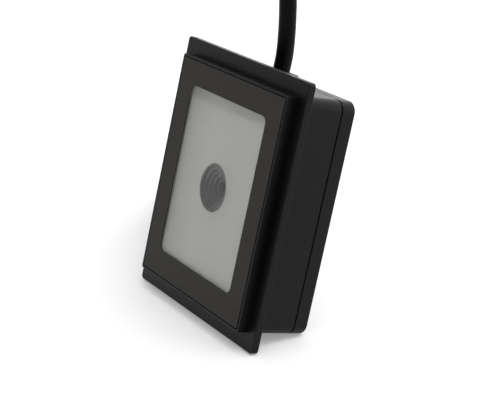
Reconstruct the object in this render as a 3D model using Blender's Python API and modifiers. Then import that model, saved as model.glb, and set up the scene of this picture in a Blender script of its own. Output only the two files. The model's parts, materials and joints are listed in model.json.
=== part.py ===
"""Fixed-mount area barcode scanner, leaning back on its flange and its rear cover.

Every solid is drawn in the scanner's own axes: X to the right seen from the front, Y backwards
from the seat of the flange, Z up the flange. One empty then leans them back to the resting pose.
Sizes are in metres.
"""
import math

import bmesh
import bpy
from mathutils import Matrix, Vector

# Clearances
SEAT_GAP = 0.0003
GLUE_LINE = 0.0001
EMBED = 0.0003

# Raised block, flange and body of the moulded housing
BLOCK_WIDTH = 0.0594
BLOCK_HEIGHT = 0.0700
BLOCK_PROUD = 0.0032
BLOCK_CORNER = 0.0008
BLOCK_EDGE = 0.0002
FLANGE_BORDER_X = 0.0043
FLANGE_BORDER_Z = 0.0050
FLANGE_THICKNESS = 0.0023
FLANGE_CORNER = 0.0012
FLANGE_EDGE = 0.00025
BODY_STEP_X = 0.00155
BODY_STEP_Z = 0.00045
BODY_DEPTH = 0.0178
BODY_CORNER = 0.0035
BODY_WALL = 0.0020

# Rear cover and the parting line that it makes
COVER_DEPTH = 0.0049
PARTING_GROOVE = 0.0003
COVER_EDGE = 0.0008
COVER_FLOOR = 0.0018
TONGUE_DEPTH = 0.0016
TONGUE_WALL = 0.0010
SEAL_HEIGHT = 0.0007

# Front panel, window plate and diffuser in the pocket of the block
RIM_WIDTH = 0.00065
PANEL_GROOVE = 0.00025
PANEL_THICKNESS = 0.0003
PANEL_CORNER = 0.0006
WINDOW_WIDTH = 0.0426
WINDOW_HEIGHT = 0.0531
WINDOW_CORNER = 0.0020
WINDOW_LIFT = 0.0003
PLATE_THICKNESS = 0.0010
LEDGE_OVERLAP = 0.0038
LEDGE_THICKNESS = 0.0012
LEDGE_CORNER = 0.0020
DIFFUSER_THICKNESS = 0.0006

# Camera port: stepped baffle, lens, holder and sensor
PORT_RADIUS = 0.0074
BAFFLE_LIP = 0.0005
BAFFLE_STEPS = 4
BAFFLE_TREAD = 0.0011
BAFFLE_RISER = 0.0009
BAFFLE_APERTURE_WALL = 0.0008
BAFFLE_FLANGE_WIDTH = 0.0019
BAFFLE_FLANGE_THICKNESS = 0.0008
BARREL_RADIUS = 0.0042
BARREL_WALL = 0.0009
BARREL_LIP = 0.0006
BARREL_LIP_RADIUS = 0.0026
LENS_THICKNESS = 0.0010
LENS_RIM = 0.0005
LENS_SETBACK = 0.0003
HOLDER_WALL = 0.0012
HOLDER_BASE = 0.0140
HOLDER_BASE_HEIGHT = 0.0022
HOLDER_CAVITY = 0.0100
HOLDER_CAVITY_HEIGHT = 0.0015
SENSOR_SIZE = 0.0080
SENSOR_THICKNESS = 0.0009
CAMERA_BOARD_SIZE = 0.0220
CAMERA_BOARD_THICKNESS = 0.0010
CAMERA_BOARD_ROOM = 0.0017
CAMERA_POST_PITCH = 0.0180
CAMERA_POST_RADIUS = 0.0016

# Engine frame, light board and lamps
FRAME_WALL = 0.0012
FRAME_PLATE = 0.0010
FRAME_DEPTH = 0.0045
FRAME_LIP = 0.0012
LIGHT_BOARD_MARGIN_X = 0.0032
LIGHT_BOARD_MARGIN_Z = 0.0035
BOARD_THICKNESS = 0.0012
LAMP_SPREAD = 0.335
LAMP_SIZE = (0.0035, 0.0028, 0.0008)

# Decoder board and what it carries
DECODER_ROOM = 0.0035
DECODER_MARGIN_X = 0.0047
DECODER_MARGIN_Z = 0.0055
DECODER_DROP = 0.0012
DECODER_POST_INSET = 0.0030
DECODER_POST_RADIUS = 0.0018
PROCESSOR_SIZE = (0.0120, 0.0120, 0.0012)
PROCESSOR_PLACE = (0.0, -0.0090)
MEMORY_SIZE = (0.0090, 0.0070, 0.0010)
MEMORY_PLACE = (0.0, 0.0070)
BUZZER_RADIUS = 0.0045
BUZZER_HEIGHT = 0.0026
BUZZER_INSET_X = 0.0105
BUZZER_INSET_Z = 0.0055
LINK_SIZE = (0.0100, 0.0032)
LINK_PLACE = (0.0, -0.0060)
SOCKET_SIZE = (0.0090, 0.0050, 0.0034)
SOCKET_INSET = 0.0045
LEAD_PLUG_SIZE = (0.0084, 0.0030, 0.0026)
INNER_LEAD_RADIUS = 0.0016

# Screws and the bosses that take them
BOSS_RADIUS = 0.0028
BOSS_INSET = 0.0022
COVER_SCREW = {"head": 0.0022, "height": 0.0013, "shank": 0.0011, "length": 0.0095}
COVER_COUNTERBORE = 0.0016
SIDE_POST_RADIUS = 0.0018
SIDE_POST_INSET = 0.0017
SMALL_SCREW = {"head": 0.0016, "height": 0.0006, "shank": 0.0007, "length": 0.0030}
SCREW_CLEARANCE = 0.0003

# Cable outlet in the top wall
CABLE_DIAMETER = 0.0053
OUTLET_AHEAD = 0.0019
GROMMET_WIDTH = 0.0104
GROMMET_DEPTH = 0.0068
GROMMET_CORNER = 0.0008
GROMMET_TOP = 0.00165
GROMMET_INNER = 0.0015
GROMMET_NECK_RADIUS = 0.0033
GROMMET_BORE_DEPTH = 0.0010

# Route of the cable in the resting pose beyond the grommet: up, over in a bow and down behind the
# housing. X, Y behind the outlet, and height as a share of the outlet's height
CABLE_ROUTE = [
    (0.0000, 0.0020, 1.144), (0.0000, 0.0024, 1.219), (0.0000, 0.0026, 1.309),
    (-0.0010, 0.0033, 1.455), (-0.0052, 0.0060, 1.575), (-0.0120, 0.0103, 1.657),
    (-0.0202, 0.0156, 1.686), (-0.0284, 0.0209, 1.657), (-0.0352, 0.0253, 1.575),
    (-0.0390, 0.0279, 1.455), (-0.0402, 0.0287, 1.315), (-0.0403, 0.0286, 1.164),
    (-0.0403, 0.0284, 1.063), (-0.0403, 0.0280, 0.980), (-0.0403, 0.0272, 0.894),
    (-0.0403, 0.0255, 0.808),
]
CABLE_LEAD_OUT = 0.0050
TUBE_POINT_SPACING = 2.4 * CABLE_DIAMETER

# Hank that stores the rest of the cable behind the housing, its tie, and the plug that lies on it.
# The hank has its own axes: X across it, Y along it away from the housing, Z up
HANK_BESIDE_BODY = (-0.03085, 0.0219)
HANK_TURN = math.radians(58.0)
HANK_HALF_STRAIGHT = 0.0158
HANK_MEAN_RADIUS = 0.0193
HANK_TURNS_WIDE = 2
HANK_HEIGHT = 0.0240
HANK_SLACK = 0.0002
HANK_APPROACH = [(0.0143, -0.0170, 0.0261), (0.0153, -0.0166, 0.0199), (0.0179, -0.0145, 0.0103),
                 (0.0206, -0.0085, 0.00255)]
TIE_THICKNESS = 0.0006
TIE_WIDTH = 0.0080
PLUG_BODY = (0.0160, 0.0220, 0.0080)
PLUG_BODY_CORNER = 0.0020
PLUG_RELIEF_LENGTH = 0.0120
PLUG_RELIEF_WALL = 0.0012
PLUG_SHELL = (0.0120, 0.01875, 0.0045)
PLUG_SHELL_WALL = 0.00035
PLUG_TONGUE_THICKNESS = 0.0017
PLUG_BACK = 0.0140
TAIL_ROUTE = [(90.0, 0.0), (120.0, 0.3), (150.0, 0.8), (176.0, 1.0)]

# Facets
CORNER_FACETS = 6
EDGE_FACETS = 2
ROUND_FACETS = 24
SMALL_FACETS = 16
PORT_FACETS = 48
HANK_FACETS = 20

# Planes and outlines that follow from the sizes above
FLANGE_WIDTH = BLOCK_WIDTH + 2 * FLANGE_BORDER_X
FLANGE_HEIGHT = BLOCK_HEIGHT + 2 * FLANGE_BORDER_Z
BODY_WIDTH = BLOCK_WIDTH + 2 * BODY_STEP_X
BODY_HEIGHT = BLOCK_HEIGHT + 2 * BODY_STEP_Z
PARTING_DEPTH = BODY_DEPTH - COVER_DEPTH
OUTLET_DEPTH = PARTING_DEPTH - OUTLET_AHEAD
BLOCK_FRONT = -(FLANGE_THICKNESS + BLOCK_PROUD)
POCKET_WIDTH = BLOCK_WIDTH - 2 * RIM_WIDTH
POCKET_HEIGHT = BLOCK_HEIGHT - 2 * RIM_WIDTH
PANEL_WIDTH = POCKET_WIDTH - 2 * PANEL_GROOVE
PANEL_HEIGHT = POCKET_HEIGHT - 2 * PANEL_GROOVE
PLATE_FRONT = BLOCK_FRONT + PANEL_THICKNESS + GLUE_LINE
PLATE_BACK = PLATE_FRONT + PLATE_THICKNESS
LEDGE_FRONT = PLATE_BACK + GLUE_LINE
LEDGE_BACK = LEDGE_FRONT + LEDGE_THICKNESS
LEDGE_WIDTH = POCKET_WIDTH - 2 * LEDGE_OVERLAP
LEDGE_HEIGHT = POCKET_HEIGHT - 2 * LEDGE_OVERLAP
DIFFUSER_FRONT = LEDGE_FRONT
DIFFUSER_BACK = DIFFUSER_FRONT + DIFFUSER_THICKNESS
FRONT_CAVITY_WIDTH = BLOCK_WIDTH - 2 * BODY_WALL
FRONT_CAVITY_HEIGHT = BLOCK_HEIGHT - 2 * BODY_WALL
REAR_CAVITY_WIDTH = BODY_WIDTH - 2 * BODY_WALL
REAR_CAVITY_HEIGHT = BODY_HEIGHT - 2 * BODY_WALL
HOUSING_END = PARTING_DEPTH - PARTING_GROOVE / 2
COVER_START = PARTING_DEPTH + PARTING_GROOVE / 2
TONGUE_FRONT = HOUSING_END - TONGUE_DEPTH
TONGUE_WIDTH = REAR_CAVITY_WIDTH - 2 * SEAT_GAP
TONGUE_HEIGHT = REAR_CAVITY_HEIGHT - 2 * SEAT_GAP
FLOOR_FRONT = BODY_DEPTH - COVER_FLOOR
BOSS_X = REAR_CAVITY_WIDTH / 2 - BOSS_INSET
BOSS_Z = REAR_CAVITY_HEIGHT / 2 - BOSS_INSET
SIDE_POST_X = FRONT_CAVITY_WIDTH / 2 - SIDE_POST_INSET

FRAME_WIDTH = FRONT_CAVITY_WIDTH - 2 * SEAT_GAP
FRAME_HEIGHT = FRONT_CAVITY_HEIGHT - 2 * SEAT_GAP
CHAMBER_WIDTH = FRAME_WIDTH - 2 * FRAME_WALL
CHAMBER_HEIGHT = FRAME_HEIGHT - 2 * FRAME_WALL
LIGHT_BOARD_WIDTH = CHAMBER_WIDTH - 2 * LIGHT_BOARD_MARGIN_X
LIGHT_BOARD_HEIGHT = CHAMBER_HEIGHT - 2 * LIGHT_BOARD_MARGIN_Z
DECODER_WIDTH = FRONT_CAVITY_WIDTH - 2 * DECODER_MARGIN_X
DECODER_HEIGHT = FRONT_CAVITY_HEIGHT - 2 * DECODER_MARGIN_Z
FRAME_FRONT = LEDGE_BACK + SEAT_GAP
FRAME_BACK = FRAME_FRONT + FRAME_DEPTH
FRAME_PLATE_FRONT = FRAME_BACK - FRAME_PLATE
SIDE_POST_END = FRAME_PLATE_FRONT - SEAT_GAP
LIGHT_BOARD_FRONT = FRAME_PLATE_FRONT - SEAT_GAP - BOARD_THICKNESS

BAFFLE_RADIUS = PORT_RADIUS - SEAT_GAP
BAFFLE_MOUTH = BAFFLE_RADIUS - BAFFLE_LIP
BAFFLE_APERTURE = BAFFLE_MOUTH - BAFFLE_STEPS * BAFFLE_TREAD
APERTURE_BACK = DIFFUSER_FRONT + BAFFLE_STEPS * BAFFLE_RISER + BAFFLE_APERTURE_WALL
SOCKET_RADIUS = BARREL_RADIUS + SEAT_GAP
BAFFLE_FLANGE_FRONT = FRAME_BACK + SEAT_GAP
BAFFLE_BACK = BAFFLE_FLANGE_FRONT + BAFFLE_FLANGE_THICKNESS
DECODER_FRONT = FLOOR_FRONT - DECODER_ROOM
DECODER_BACK = DECODER_FRONT + BOARD_THICKNESS
SOCKET_HEIGHT = DECODER_HEIGHT / 2 - DECODER_DROP - SOCKET_INSET
CAMERA_BOARD_BACK = DECODER_FRONT - CAMERA_BOARD_ROOM
CAMERA_BOARD_FRONT = CAMERA_BOARD_BACK - CAMERA_BOARD_THICKNESS
HOLDER_FRONT = BAFFLE_BACK + SEAT_GAP
HOLDER_BACK = CAMERA_BOARD_FRONT - SEAT_GAP
NECK_BACK = HOLDER_BACK - HOLDER_BASE_HEIGHT
SENSOR_CAVITY_FRONT = HOLDER_BACK - HOLDER_CAVITY_HEIGHT
BARREL_FRONT = APERTURE_BACK + SEAT_GAP
BARREL_BACK = SENSOR_CAVITY_FRONT - SEAT_GAP
LENS_RADIUS = BARREL_RADIUS - BARREL_WALL - SEAT_GAP
FRONT_LENS_START = BARREL_FRONT + BARREL_LIP + SEAT_GAP
REAR_LENS_START = BARREL_BACK - LENS_SETBACK - LENS_THICKNESS

OUTLET_RADIUS = GROMMET_NECK_RADIUS + SEAT_GAP
BODY_TOP = BODY_HEIGHT / 2
GROMMET_SEAT = BODY_TOP + SEAT_GAP
GROMMET_CROWN = GROMMET_SEAT + GROMMET_TOP
GROMMET_FOOT = BODY_TOP - BODY_WALL - SEAT_GAP - GROMMET_INNER

CABLE_FOOT = GROMMET_CROWN - GROMMET_BORE_DEPTH + SEAT_GAP
HANK_HALF_WIDTH = HANK_TURNS_WIDE * CABLE_DIAMETER / 2 + HANK_SLACK
HANK_BASE = TIE_THICKNESS + SEAT_GAP
HANK_TOP = HANK_BASE + HANK_HEIGHT
HANK_INNER_TURN = HANK_MEAN_RADIUS - (HANK_TURNS_WIDE - 1) * CABLE_DIAMETER / 2
PLUG_AXIS_HEIGHT = HANK_TOP + SEAT_GAP + PLUG_BODY[2] / 2
TAIL_HEIGHT = HANK_TOP + SEAT_GAP + CABLE_DIAMETER / 2
PLUG_PLACE = (-HANK_INNER_TURN, PLUG_BACK)

COLOURS = {
    "black_plastic": ((0.022, 0.021, 0.020), 0.42, 0.0),
    "black_film": ((0.034, 0.032, 0.030), 0.50, 0.0),
    "clear_plastic": ((0.80, 0.82, 0.82), 0.08, 0.0),
    "milky_plastic": ((0.70, 0.70, 0.68), 0.45, 0.0),
    "baffle_black": ((0.030, 0.030, 0.029), 0.60, 0.0),
    "rubber": ((0.016, 0.016, 0.016), 0.70, 0.0),
    "glass": ((0.60, 0.66, 0.70), 0.03, 0.0),
    "circuit_board": ((0.010, 0.085, 0.035), 0.45, 0.0),
    "chip": ((0.018, 0.018, 0.020), 0.40, 0.0),
    "lamp": ((0.90, 0.82, 0.40), 0.30, 0.0),
    "steel": ((0.55, 0.55, 0.54), 0.30, 1.0),
    "black_steel": ((0.05, 0.05, 0.05), 0.35, 1.0),
    "white_plastic": ((0.80, 0.79, 0.74), 0.40, 0.0),
    "cable_jacket": ((0.012, 0.012, 0.013), 0.45, 0.0),
}


def clear_scene():
    """Remove everything that a new file starts with."""
    for thing in list(bpy.data.objects):
        bpy.data.objects.remove(thing, do_unlink=True)


def make_collection(name):
    """A collection linked to the scene."""
    collection = bpy.data.collections.new(name)
    bpy.context.scene.collection.children.link(collection)
    return collection


clear_scene()
PARTS = make_collection("barcode_scanner")
CUTTERS = make_collection("barcode_scanner_cutters")


def material(name):
    """One Principled material for each entry in COLOURS."""
    if name in bpy.data.materials:
        return bpy.data.materials[name]
    colour, roughness, metallic = COLOURS[name]
    result = bpy.data.materials.new(name)
    result.use_nodes = True
    shader = result.node_tree.nodes["Principled BSDF"]
    shader.inputs["Base Color"].default_value = (*colour, 1.0)
    shader.inputs["Roughness"].default_value = roughness
    shader.inputs["Metallic"].default_value = metallic
    return result


def resting_lean():
    """Angle at which the rounded flange edge and the rounded cover edge both touch the surface."""
    flange_centre = Vector((-FLANGE_EDGE, -FLANGE_HEIGHT / 2 + FLANGE_EDGE))
    cover_centre = Vector((BODY_DEPTH - COVER_EDGE, -BODY_HEIGHT / 2 + COVER_EDGE))
    span = cover_centre - flange_centre
    return math.atan2(span.y, span.x) - math.asin((COVER_EDGE - FLANGE_EDGE) / span.length)


def resting_place(lean):
    """Where the scanner's own origin lies when the scanner leans on the surface, centred in depth."""
    turn = Matrix.Rotation(-lean, 3, "X")
    edge = turn @ Vector((0.0, -FLANGE_EDGE, -FLANGE_HEIGHT / 2 + FLANGE_EDGE))
    front = turn @ Vector((0.0, BLOCK_FRONT, -BLOCK_HEIGHT / 2))
    back = turn @ Vector((0.0, BODY_DEPTH, BODY_HEIGHT / 2))
    return Vector((0.0, -(front.y + back.y) / 2, FLANGE_EDGE - edge.z))


def make_rest_empty():
    """The empty that carries the whole scanner in its resting pose."""
    lean = resting_lean()
    empty = bpy.data.objects.new("rest_pose", None)
    empty.rotation_euler = (-lean, 0.0, 0.0)
    empty.location = resting_place(lean)
    PARTS.objects.link(empty)
    return empty


REST = make_rest_empty()


def outlet_point(height):
    """A point on the cable outlet's axis, at a height up the flange, in the resting pose."""
    turn = Matrix.Rotation(-resting_lean(), 3, "X")
    return turn @ Vector((0.0, OUTLET_DEPTH, height)) + resting_place(resting_lean())


def make_hank_empty():
    """The hank's own axes on the surface that the scanner rests on, behind the housing."""
    empty = bpy.data.objects.new("hank_axes", None)
    bpy.context.scene.collection.objects.link(empty)
    x = -BODY_WIDTH / 2 + HANK_BESIDE_BODY[0]
    y = outlet_point(GROMMET_CROWN).y + HANK_BESIDE_BODY[1]
    empty.matrix_world = Matrix.Translation((x, y, 0.0)) @ Matrix.Rotation(HANK_TURN, 4, "Z")
    return empty


HANK_AXES = make_hank_empty()


def cable_points():
    """The cable's route from its seat in the grommet to where it meets the hank."""
    crown = outlet_point(GROMMET_CROWN)
    route = [outlet_point(CABLE_FOOT), outlet_point(GROMMET_CROWN + CABLE_LEAD_OUT)]
    route += [Vector((x, crown.y + y, crown.z * share)) for x, y, share in CABLE_ROUTE]
    return route + [HANK_AXES.matrix_world @ Vector((x, y, HANK_TOP + rise))
                    for x, y, rise in HANK_APPROACH]


def add_object(name, mesh, surface, parent=REST):
    """Link a mesh as a named object, or as a hidden cutter when it has no material."""
    thing = bpy.data.objects.new(name, mesh)
    thing.parent = parent
    if surface is None:
        CUTTERS.objects.link(thing)
        thing.hide_render = True
        thing.display_type = "WIRE"
        return thing
    PARTS.objects.link(thing)
    mesh.materials.append(material(surface))
    mesh.shade_smooth()
    mesh.set_sharp_from_angle(angle=math.radians(35))
    return thing


def mesh_from(name, bm):
    """Turn a bmesh into mesh data with its faces pointing outwards."""
    bmesh.ops.recalc_face_normals(bm, faces=bm.faces)
    mesh = bpy.data.meshes.new(name)
    bm.to_mesh(mesh)
    bm.free()
    return mesh


def slab_mesh(name, size, front, back, corner=0.0, front_edge=0.0, back_edge=0.0, centre=(0.0, 0.0)):
    """A plate between two depths, with rounded corners and optional rounded front and back rims."""
    bm = bmesh.new()
    bmesh.ops.create_cube(bm, size=1.0)
    bmesh.ops.scale(bm, vec=(size[0], back - front, size[1]), verts=bm.verts)
    bmesh.ops.translate(bm, vec=(centre[0], (front + back) / 2, centre[1]), verts=bm.verts)
    if corner > 0.0:
        along = [e for e in bm.edges if abs(e.verts[0].co.y - e.verts[1].co.y) > (back - front) / 2]
        bmesh.ops.bevel(bm, geom=along, offset=corner, offset_type="OFFSET", segments=CORNER_FACETS,
                        profile=0.5, affect="EDGES", clamp_overlap=True)
    for depth, radius in ((front, front_edge), (back, back_edge)):
        if radius > 0.0:
            rim = [e for e in bm.edges if all(abs(v.co.y - depth) < 1e-6 for v in e.verts)]
            bmesh.ops.bevel(bm, geom=rim, offset=radius, offset_type="OFFSET", segments=EDGE_FACETS,
                            profile=0.5, affect="EDGES", clamp_overlap=True)
    return mesh_from(name, bm)


def slab(name, size, front, back, surface=None, **options):
    """A plate as an object."""
    return add_object(name, slab_mesh(name, size, front, back, **options), surface)


def rod(name, radius, start, end, surface=None, facets=ROUND_FACETS, parent=REST):
    """A cylinder from one point to another."""
    start, end = Vector(start), Vector(end)
    bm = bmesh.new()
    bmesh.ops.create_cone(bm, cap_ends=True, segments=facets, radius1=radius, radius2=radius,
                          depth=(end - start).length)
    turn = Vector((0.0, 0.0, 1.0)).rotation_difference(end - start).to_matrix().to_4x4()
    bmesh.ops.transform(bm, matrix=Matrix.Translation((start + end) / 2) @ turn, verts=bm.verts)
    return add_object(name, mesh_from(name, bm), surface, parent)


def turned(name, profile, surface, place=(0.0, 0.0), facets=ROUND_FACETS, closed=True):
    """A profile of (radius, depth) points turned about an axis that runs straight back."""
    mesh = bpy.data.meshes.new(name)
    count = len(profile)
    edges = [(i, i + 1) for i in range(count - 1)]
    if closed:
        edges.append((count - 1, 0))
    mesh.from_pydata([(radius, 0.0, depth) for radius, depth in profile], edges, [])
    thing = add_object(name, mesh, surface)
    thing.location = (place[0], 0.0, place[1])
    thing.rotation_euler = (math.radians(-90), 0.0, 0.0)
    screw = thing.modifiers.new("turn", "SCREW")
    screw.steps = facets
    screw.render_steps = facets
    screw.use_merge_vertices = True
    screw.merge_threshold = 0.00001
    screw.use_smooth_shade = True
    return thing


def boolean(target, operand, operation):
    """Cut or join with a hidden operand."""
    step = target.modifiers.new(operand.name, "BOOLEAN")
    step.operation = operation
    step.object = operand
    step.solver = "EXACT"


def cut(target, *operands):
    """Take each operand away from the target."""
    for operand in operands:
        boolean(target, operand, "DIFFERENCE")


def join(target, *operands):
    """Add each operand to the target."""
    for operand in operands:
        boolean(target, operand, "UNION")


def grid(x, z):
    """The four places at plus and minus x and z."""
    return [(sx * x, sz * z) for sz in (1, -1) for sx in (-1, 1)]


def posts(name, places, radius, front, back, facets=SMALL_FACETS):
    """Straight round posts or cutters that run backwards, one at each place."""
    return [rod(f"{name}_{i}", radius, (x, front, z), (x, back, z), facets=facets)
            for i, (x, z) in enumerate(places, 1)]


def outlet_cutter(name, radius):
    """The hole that the cable's grommet takes through the top wall, half in each moulding."""
    return rod(name, radius, (0.0, OUTLET_DEPTH, BODY_TOP - 3 * BODY_WALL),
               (0.0, OUTLET_DEPTH, BODY_TOP + BODY_WALL))


def foot_cutter(name):
    """The room that the inner foot of the grommet takes below the top wall."""
    size = (GROMMET_WIDTH + 2 * SEAT_GAP, GROMMET_DEPTH + 2 * SEAT_GAP)
    return upright_block(name, size, GROMMET_FOOT - SEAT_GAP, BODY_TOP - BODY_WALL + EMBED)


def main_housing():
    """One moulding: flange, raised block with its rim and pocket, side walls, bosses and posts."""
    housing = slab("main_housing", (FLANGE_WIDTH, FLANGE_HEIGHT), -FLANGE_THICKNESS, 0.0, "black_plastic",
                   corner=FLANGE_CORNER, front_edge=FLANGE_EDGE, back_edge=FLANGE_EDGE)
    middle = -FLANGE_THICKNESS / 2
    join(housing,
         slab("block_form", (BLOCK_WIDTH, BLOCK_HEIGHT), BLOCK_FRONT, middle,
              corner=BLOCK_CORNER, front_edge=BLOCK_EDGE),
         slab("body_form", (BODY_WIDTH, BODY_HEIGHT), middle, HOUSING_END, corner=BODY_CORNER))
    cut(housing,
        slab("front_cavity", (FRONT_CAVITY_WIDTH, FRONT_CAVITY_HEIGHT), LEDGE_BACK, BODY_WALL,
             corner=BLOCK_CORNER),
        slab("rear_cavity", (REAR_CAVITY_WIDTH, REAR_CAVITY_HEIGHT), BODY_WALL / 2, BODY_DEPTH,
             corner=BODY_CORNER - BODY_WALL),
        slab("panel_pocket", (POCKET_WIDTH, POCKET_HEIGHT), BLOCK_FRONT - BODY_WALL, LEDGE_FRONT,
             corner=BLOCK_CORNER),
        slab("light_opening", (LEDGE_WIDTH, LEDGE_HEIGHT), LEDGE_FRONT - EMBED, LEDGE_BACK + EMBED,
             corner=LEDGE_CORNER))
    sides = [(-SIDE_POST_X, 0.0), (SIDE_POST_X, 0.0)]
    join(housing,
         *posts("cover_boss", grid(BOSS_X, BOSS_Z), BOSS_RADIUS, LEDGE_BACK - EMBED, HOUSING_END,
                facets=ROUND_FACETS),
         *posts("side_post", sides, SIDE_POST_RADIUS, LEDGE_BACK - EMBED, SIDE_POST_END))
    pilot = COVER_SCREW["shank"] + SCREW_CLEARANCE
    pilot_front = BODY_DEPTH - COVER_COUNTERBORE - COVER_SCREW["length"] - 2 * SEAT_GAP
    cut(housing,
        *posts("cover_pilot", grid(BOSS_X, BOSS_Z), pilot, pilot_front, BODY_DEPTH),
        *posts("side_pilot", sides, SMALL_SCREW["shank"] + SCREW_CLEARANCE,
               LEDGE_BACK + SEAT_GAP, FRAME_BACK),
        outlet_cutter("housing_outlet", OUTLET_RADIUS))
    return housing


def tongue_inside(name, front, back):
    """The space inside the tongue, which runs round the inner sides of the corner bosses."""
    corner = BODY_CORNER - BODY_WALL - SEAT_GAP - TONGUE_WALL
    space = slab(name, (TONGUE_WIDTH - 2 * TONGUE_WALL, TONGUE_HEIGHT - 2 * TONGUE_WALL), front, back,
                 corner=corner)
    cut(space, *posts(f"{name}_lobe", grid(BOSS_X, BOSS_Z), BOSS_RADIUS + SEAT_GAP + TONGUE_WALL,
                      front - EMBED, back + EMBED, facets=ROUND_FACETS))
    return space


def rear_cover():
    """The tray that closes the housing: outer skin, tongue, screw columns and counterbores."""
    cover = slab("rear_cover", (BODY_WIDTH, BODY_HEIGHT), COVER_START, BODY_DEPTH, "black_plastic",
                 corner=BODY_CORNER, back_edge=COVER_EDGE)
    join(cover, slab("cover_tongue", (TONGUE_WIDTH, TONGUE_HEIGHT), TONGUE_FRONT,
                     (COVER_START + BODY_DEPTH) / 2, corner=BODY_CORNER - BODY_WALL - SEAT_GAP))
    cut(cover, tongue_inside("cover_cavity", TONGUE_FRONT - BODY_WALL, FLOOR_FRONT))
    cut(cover, *posts("boss_notch", grid(BOSS_X, BOSS_Z), BOSS_RADIUS + SEAT_GAP,
                      TONGUE_FRONT - BODY_WALL, COVER_START + PARTING_GROOVE, facets=ROUND_FACETS))
    join(cover, *posts("cover_column", grid(BOSS_X, BOSS_Z), BOSS_RADIUS, COVER_START,
                       FLOOR_FRONT + EMBED, facets=ROUND_FACETS))
    cut(cover,
        *posts("cover_hole", grid(BOSS_X, BOSS_Z), COVER_SCREW["shank"] + SCREW_CLEARANCE,
               TONGUE_FRONT - BODY_WALL, BODY_DEPTH + EMBED),
        *posts("counterbore", grid(BOSS_X, BOSS_Z), COVER_SCREW["head"] + SCREW_CLEARANCE,
               BODY_DEPTH - COVER_COUNTERBORE, BODY_DEPTH + EMBED, facets=ROUND_FACETS),
        outlet_cutter("cover_outlet", OUTLET_RADIUS),
        foot_cutter("cover_foot"))
    return cover


def cover_seal():
    """The soft ring that the cover's tongue presses, broken where the cable comes in."""
    back = TONGUE_FRONT - SEAT_GAP
    front = back - SEAL_HEIGHT
    seal = slab("cover_seal", (TONGUE_WIDTH, TONGUE_HEIGHT), front, back, "rubber",
                corner=BODY_CORNER - BODY_WALL - SEAT_GAP)
    cut(seal,
        tongue_inside("seal_inside", front - EMBED, back + EMBED),
        *posts("seal_notch", grid(BOSS_X, BOSS_Z), BOSS_RADIUS + SEAT_GAP, front - EMBED, back + EMBED,
               facets=ROUND_FACETS),
        foot_cutter("seal_foot"))
    return seal


def front_panel():
    """The thin black panel in the block's pocket, with the window opening in it."""
    panel = slab("front_panel", (PANEL_WIDTH, PANEL_HEIGHT), BLOCK_FRONT, BLOCK_FRONT + PANEL_THICKNESS,
                 "black_film", corner=PANEL_CORNER)
    cut(panel, slab("window_opening", (WINDOW_WIDTH, WINDOW_HEIGHT), BLOCK_FRONT - EMBED,
                    PLATE_FRONT + EMBED, corner=WINDOW_CORNER, centre=(0.0, WINDOW_LIFT)))
    return panel


def window_plate():
    """The clear plate behind the panel."""
    return slab("window_plate", (PANEL_WIDTH, PANEL_HEIGHT), PLATE_FRONT, PLATE_BACK, "clear_plastic",
                corner=PANEL_CORNER)


def diffuser():
    """The milky sheet behind the window, with the round camera port in it."""
    size = (LEDGE_WIDTH - 2 * SEAT_GAP, LEDGE_HEIGHT - 2 * SEAT_GAP)
    sheet = slab("diffuser", size, DIFFUSER_FRONT, DIFFUSER_BACK, "milky_plastic",
                 corner=LEDGE_CORNER - SEAT_GAP)
    cut(sheet, rod("port_hole", PORT_RADIUS, (0.0, DIFFUSER_FRONT - EMBED, 0.0),
                   (0.0, DIFFUSER_BACK + EMBED, 0.0), facets=PORT_FACETS))
    return sheet


def lens_baffle():
    """The stepped funnel that keeps stray light off the lens, with a socket for the barrel behind it."""
    flange_radius = BAFFLE_RADIUS + BAFFLE_FLANGE_WIDTH
    profile = [(flange_radius, BAFFLE_BACK), (flange_radius, BAFFLE_FLANGE_FRONT),
               (BAFFLE_RADIUS, BAFFLE_FLANGE_FRONT), (BAFFLE_RADIUS, DIFFUSER_FRONT),
               (BAFFLE_MOUTH, DIFFUSER_FRONT)]
    for step in range(1, BAFFLE_STEPS + 1):
        depth = DIFFUSER_FRONT + step * BAFFLE_RISER
        profile.append((BAFFLE_MOUTH - (step - 1) * BAFFLE_TREAD, depth))
        profile.append((BAFFLE_MOUTH - step * BAFFLE_TREAD, depth))
    profile += [(BAFFLE_APERTURE, APERTURE_BACK), (SOCKET_RADIUS, APERTURE_BACK),
                (SOCKET_RADIUS, BAFFLE_BACK)]
    return turned("lens_baffle", profile, "baffle_black", facets=PORT_FACETS)


def lens_barrel():
    """The tube that holds the two lenses, with a lip round its front opening."""
    bore = BARREL_RADIUS - BARREL_WALL
    profile = [(BARREL_RADIUS, BARREL_BACK), (BARREL_RADIUS, BARREL_FRONT),
               (BARREL_LIP_RADIUS, BARREL_FRONT), (BARREL_LIP_RADIUS, BARREL_FRONT + BARREL_LIP),
               (bore, BARREL_FRONT + BARREL_LIP), (bore, BARREL_BACK)]
    return turned("lens_barrel", profile, "baffle_black")


def lens(name, start):
    """A lens with two curved faces and a flat rim."""
    bulge = (LENS_THICKNESS - LENS_RIM) / 2
    rings = 4
    back = [(LENS_RADIUS * i / rings, start + LENS_THICKNESS - bulge * (i / rings) ** 2)
            for i in range(rings + 1)]
    front = [(LENS_RADIUS * i / rings, start + bulge * (i / rings) ** 2) for i in range(rings, -1, -1)]
    return turned(name, back + front, "glass", closed=False)


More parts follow.
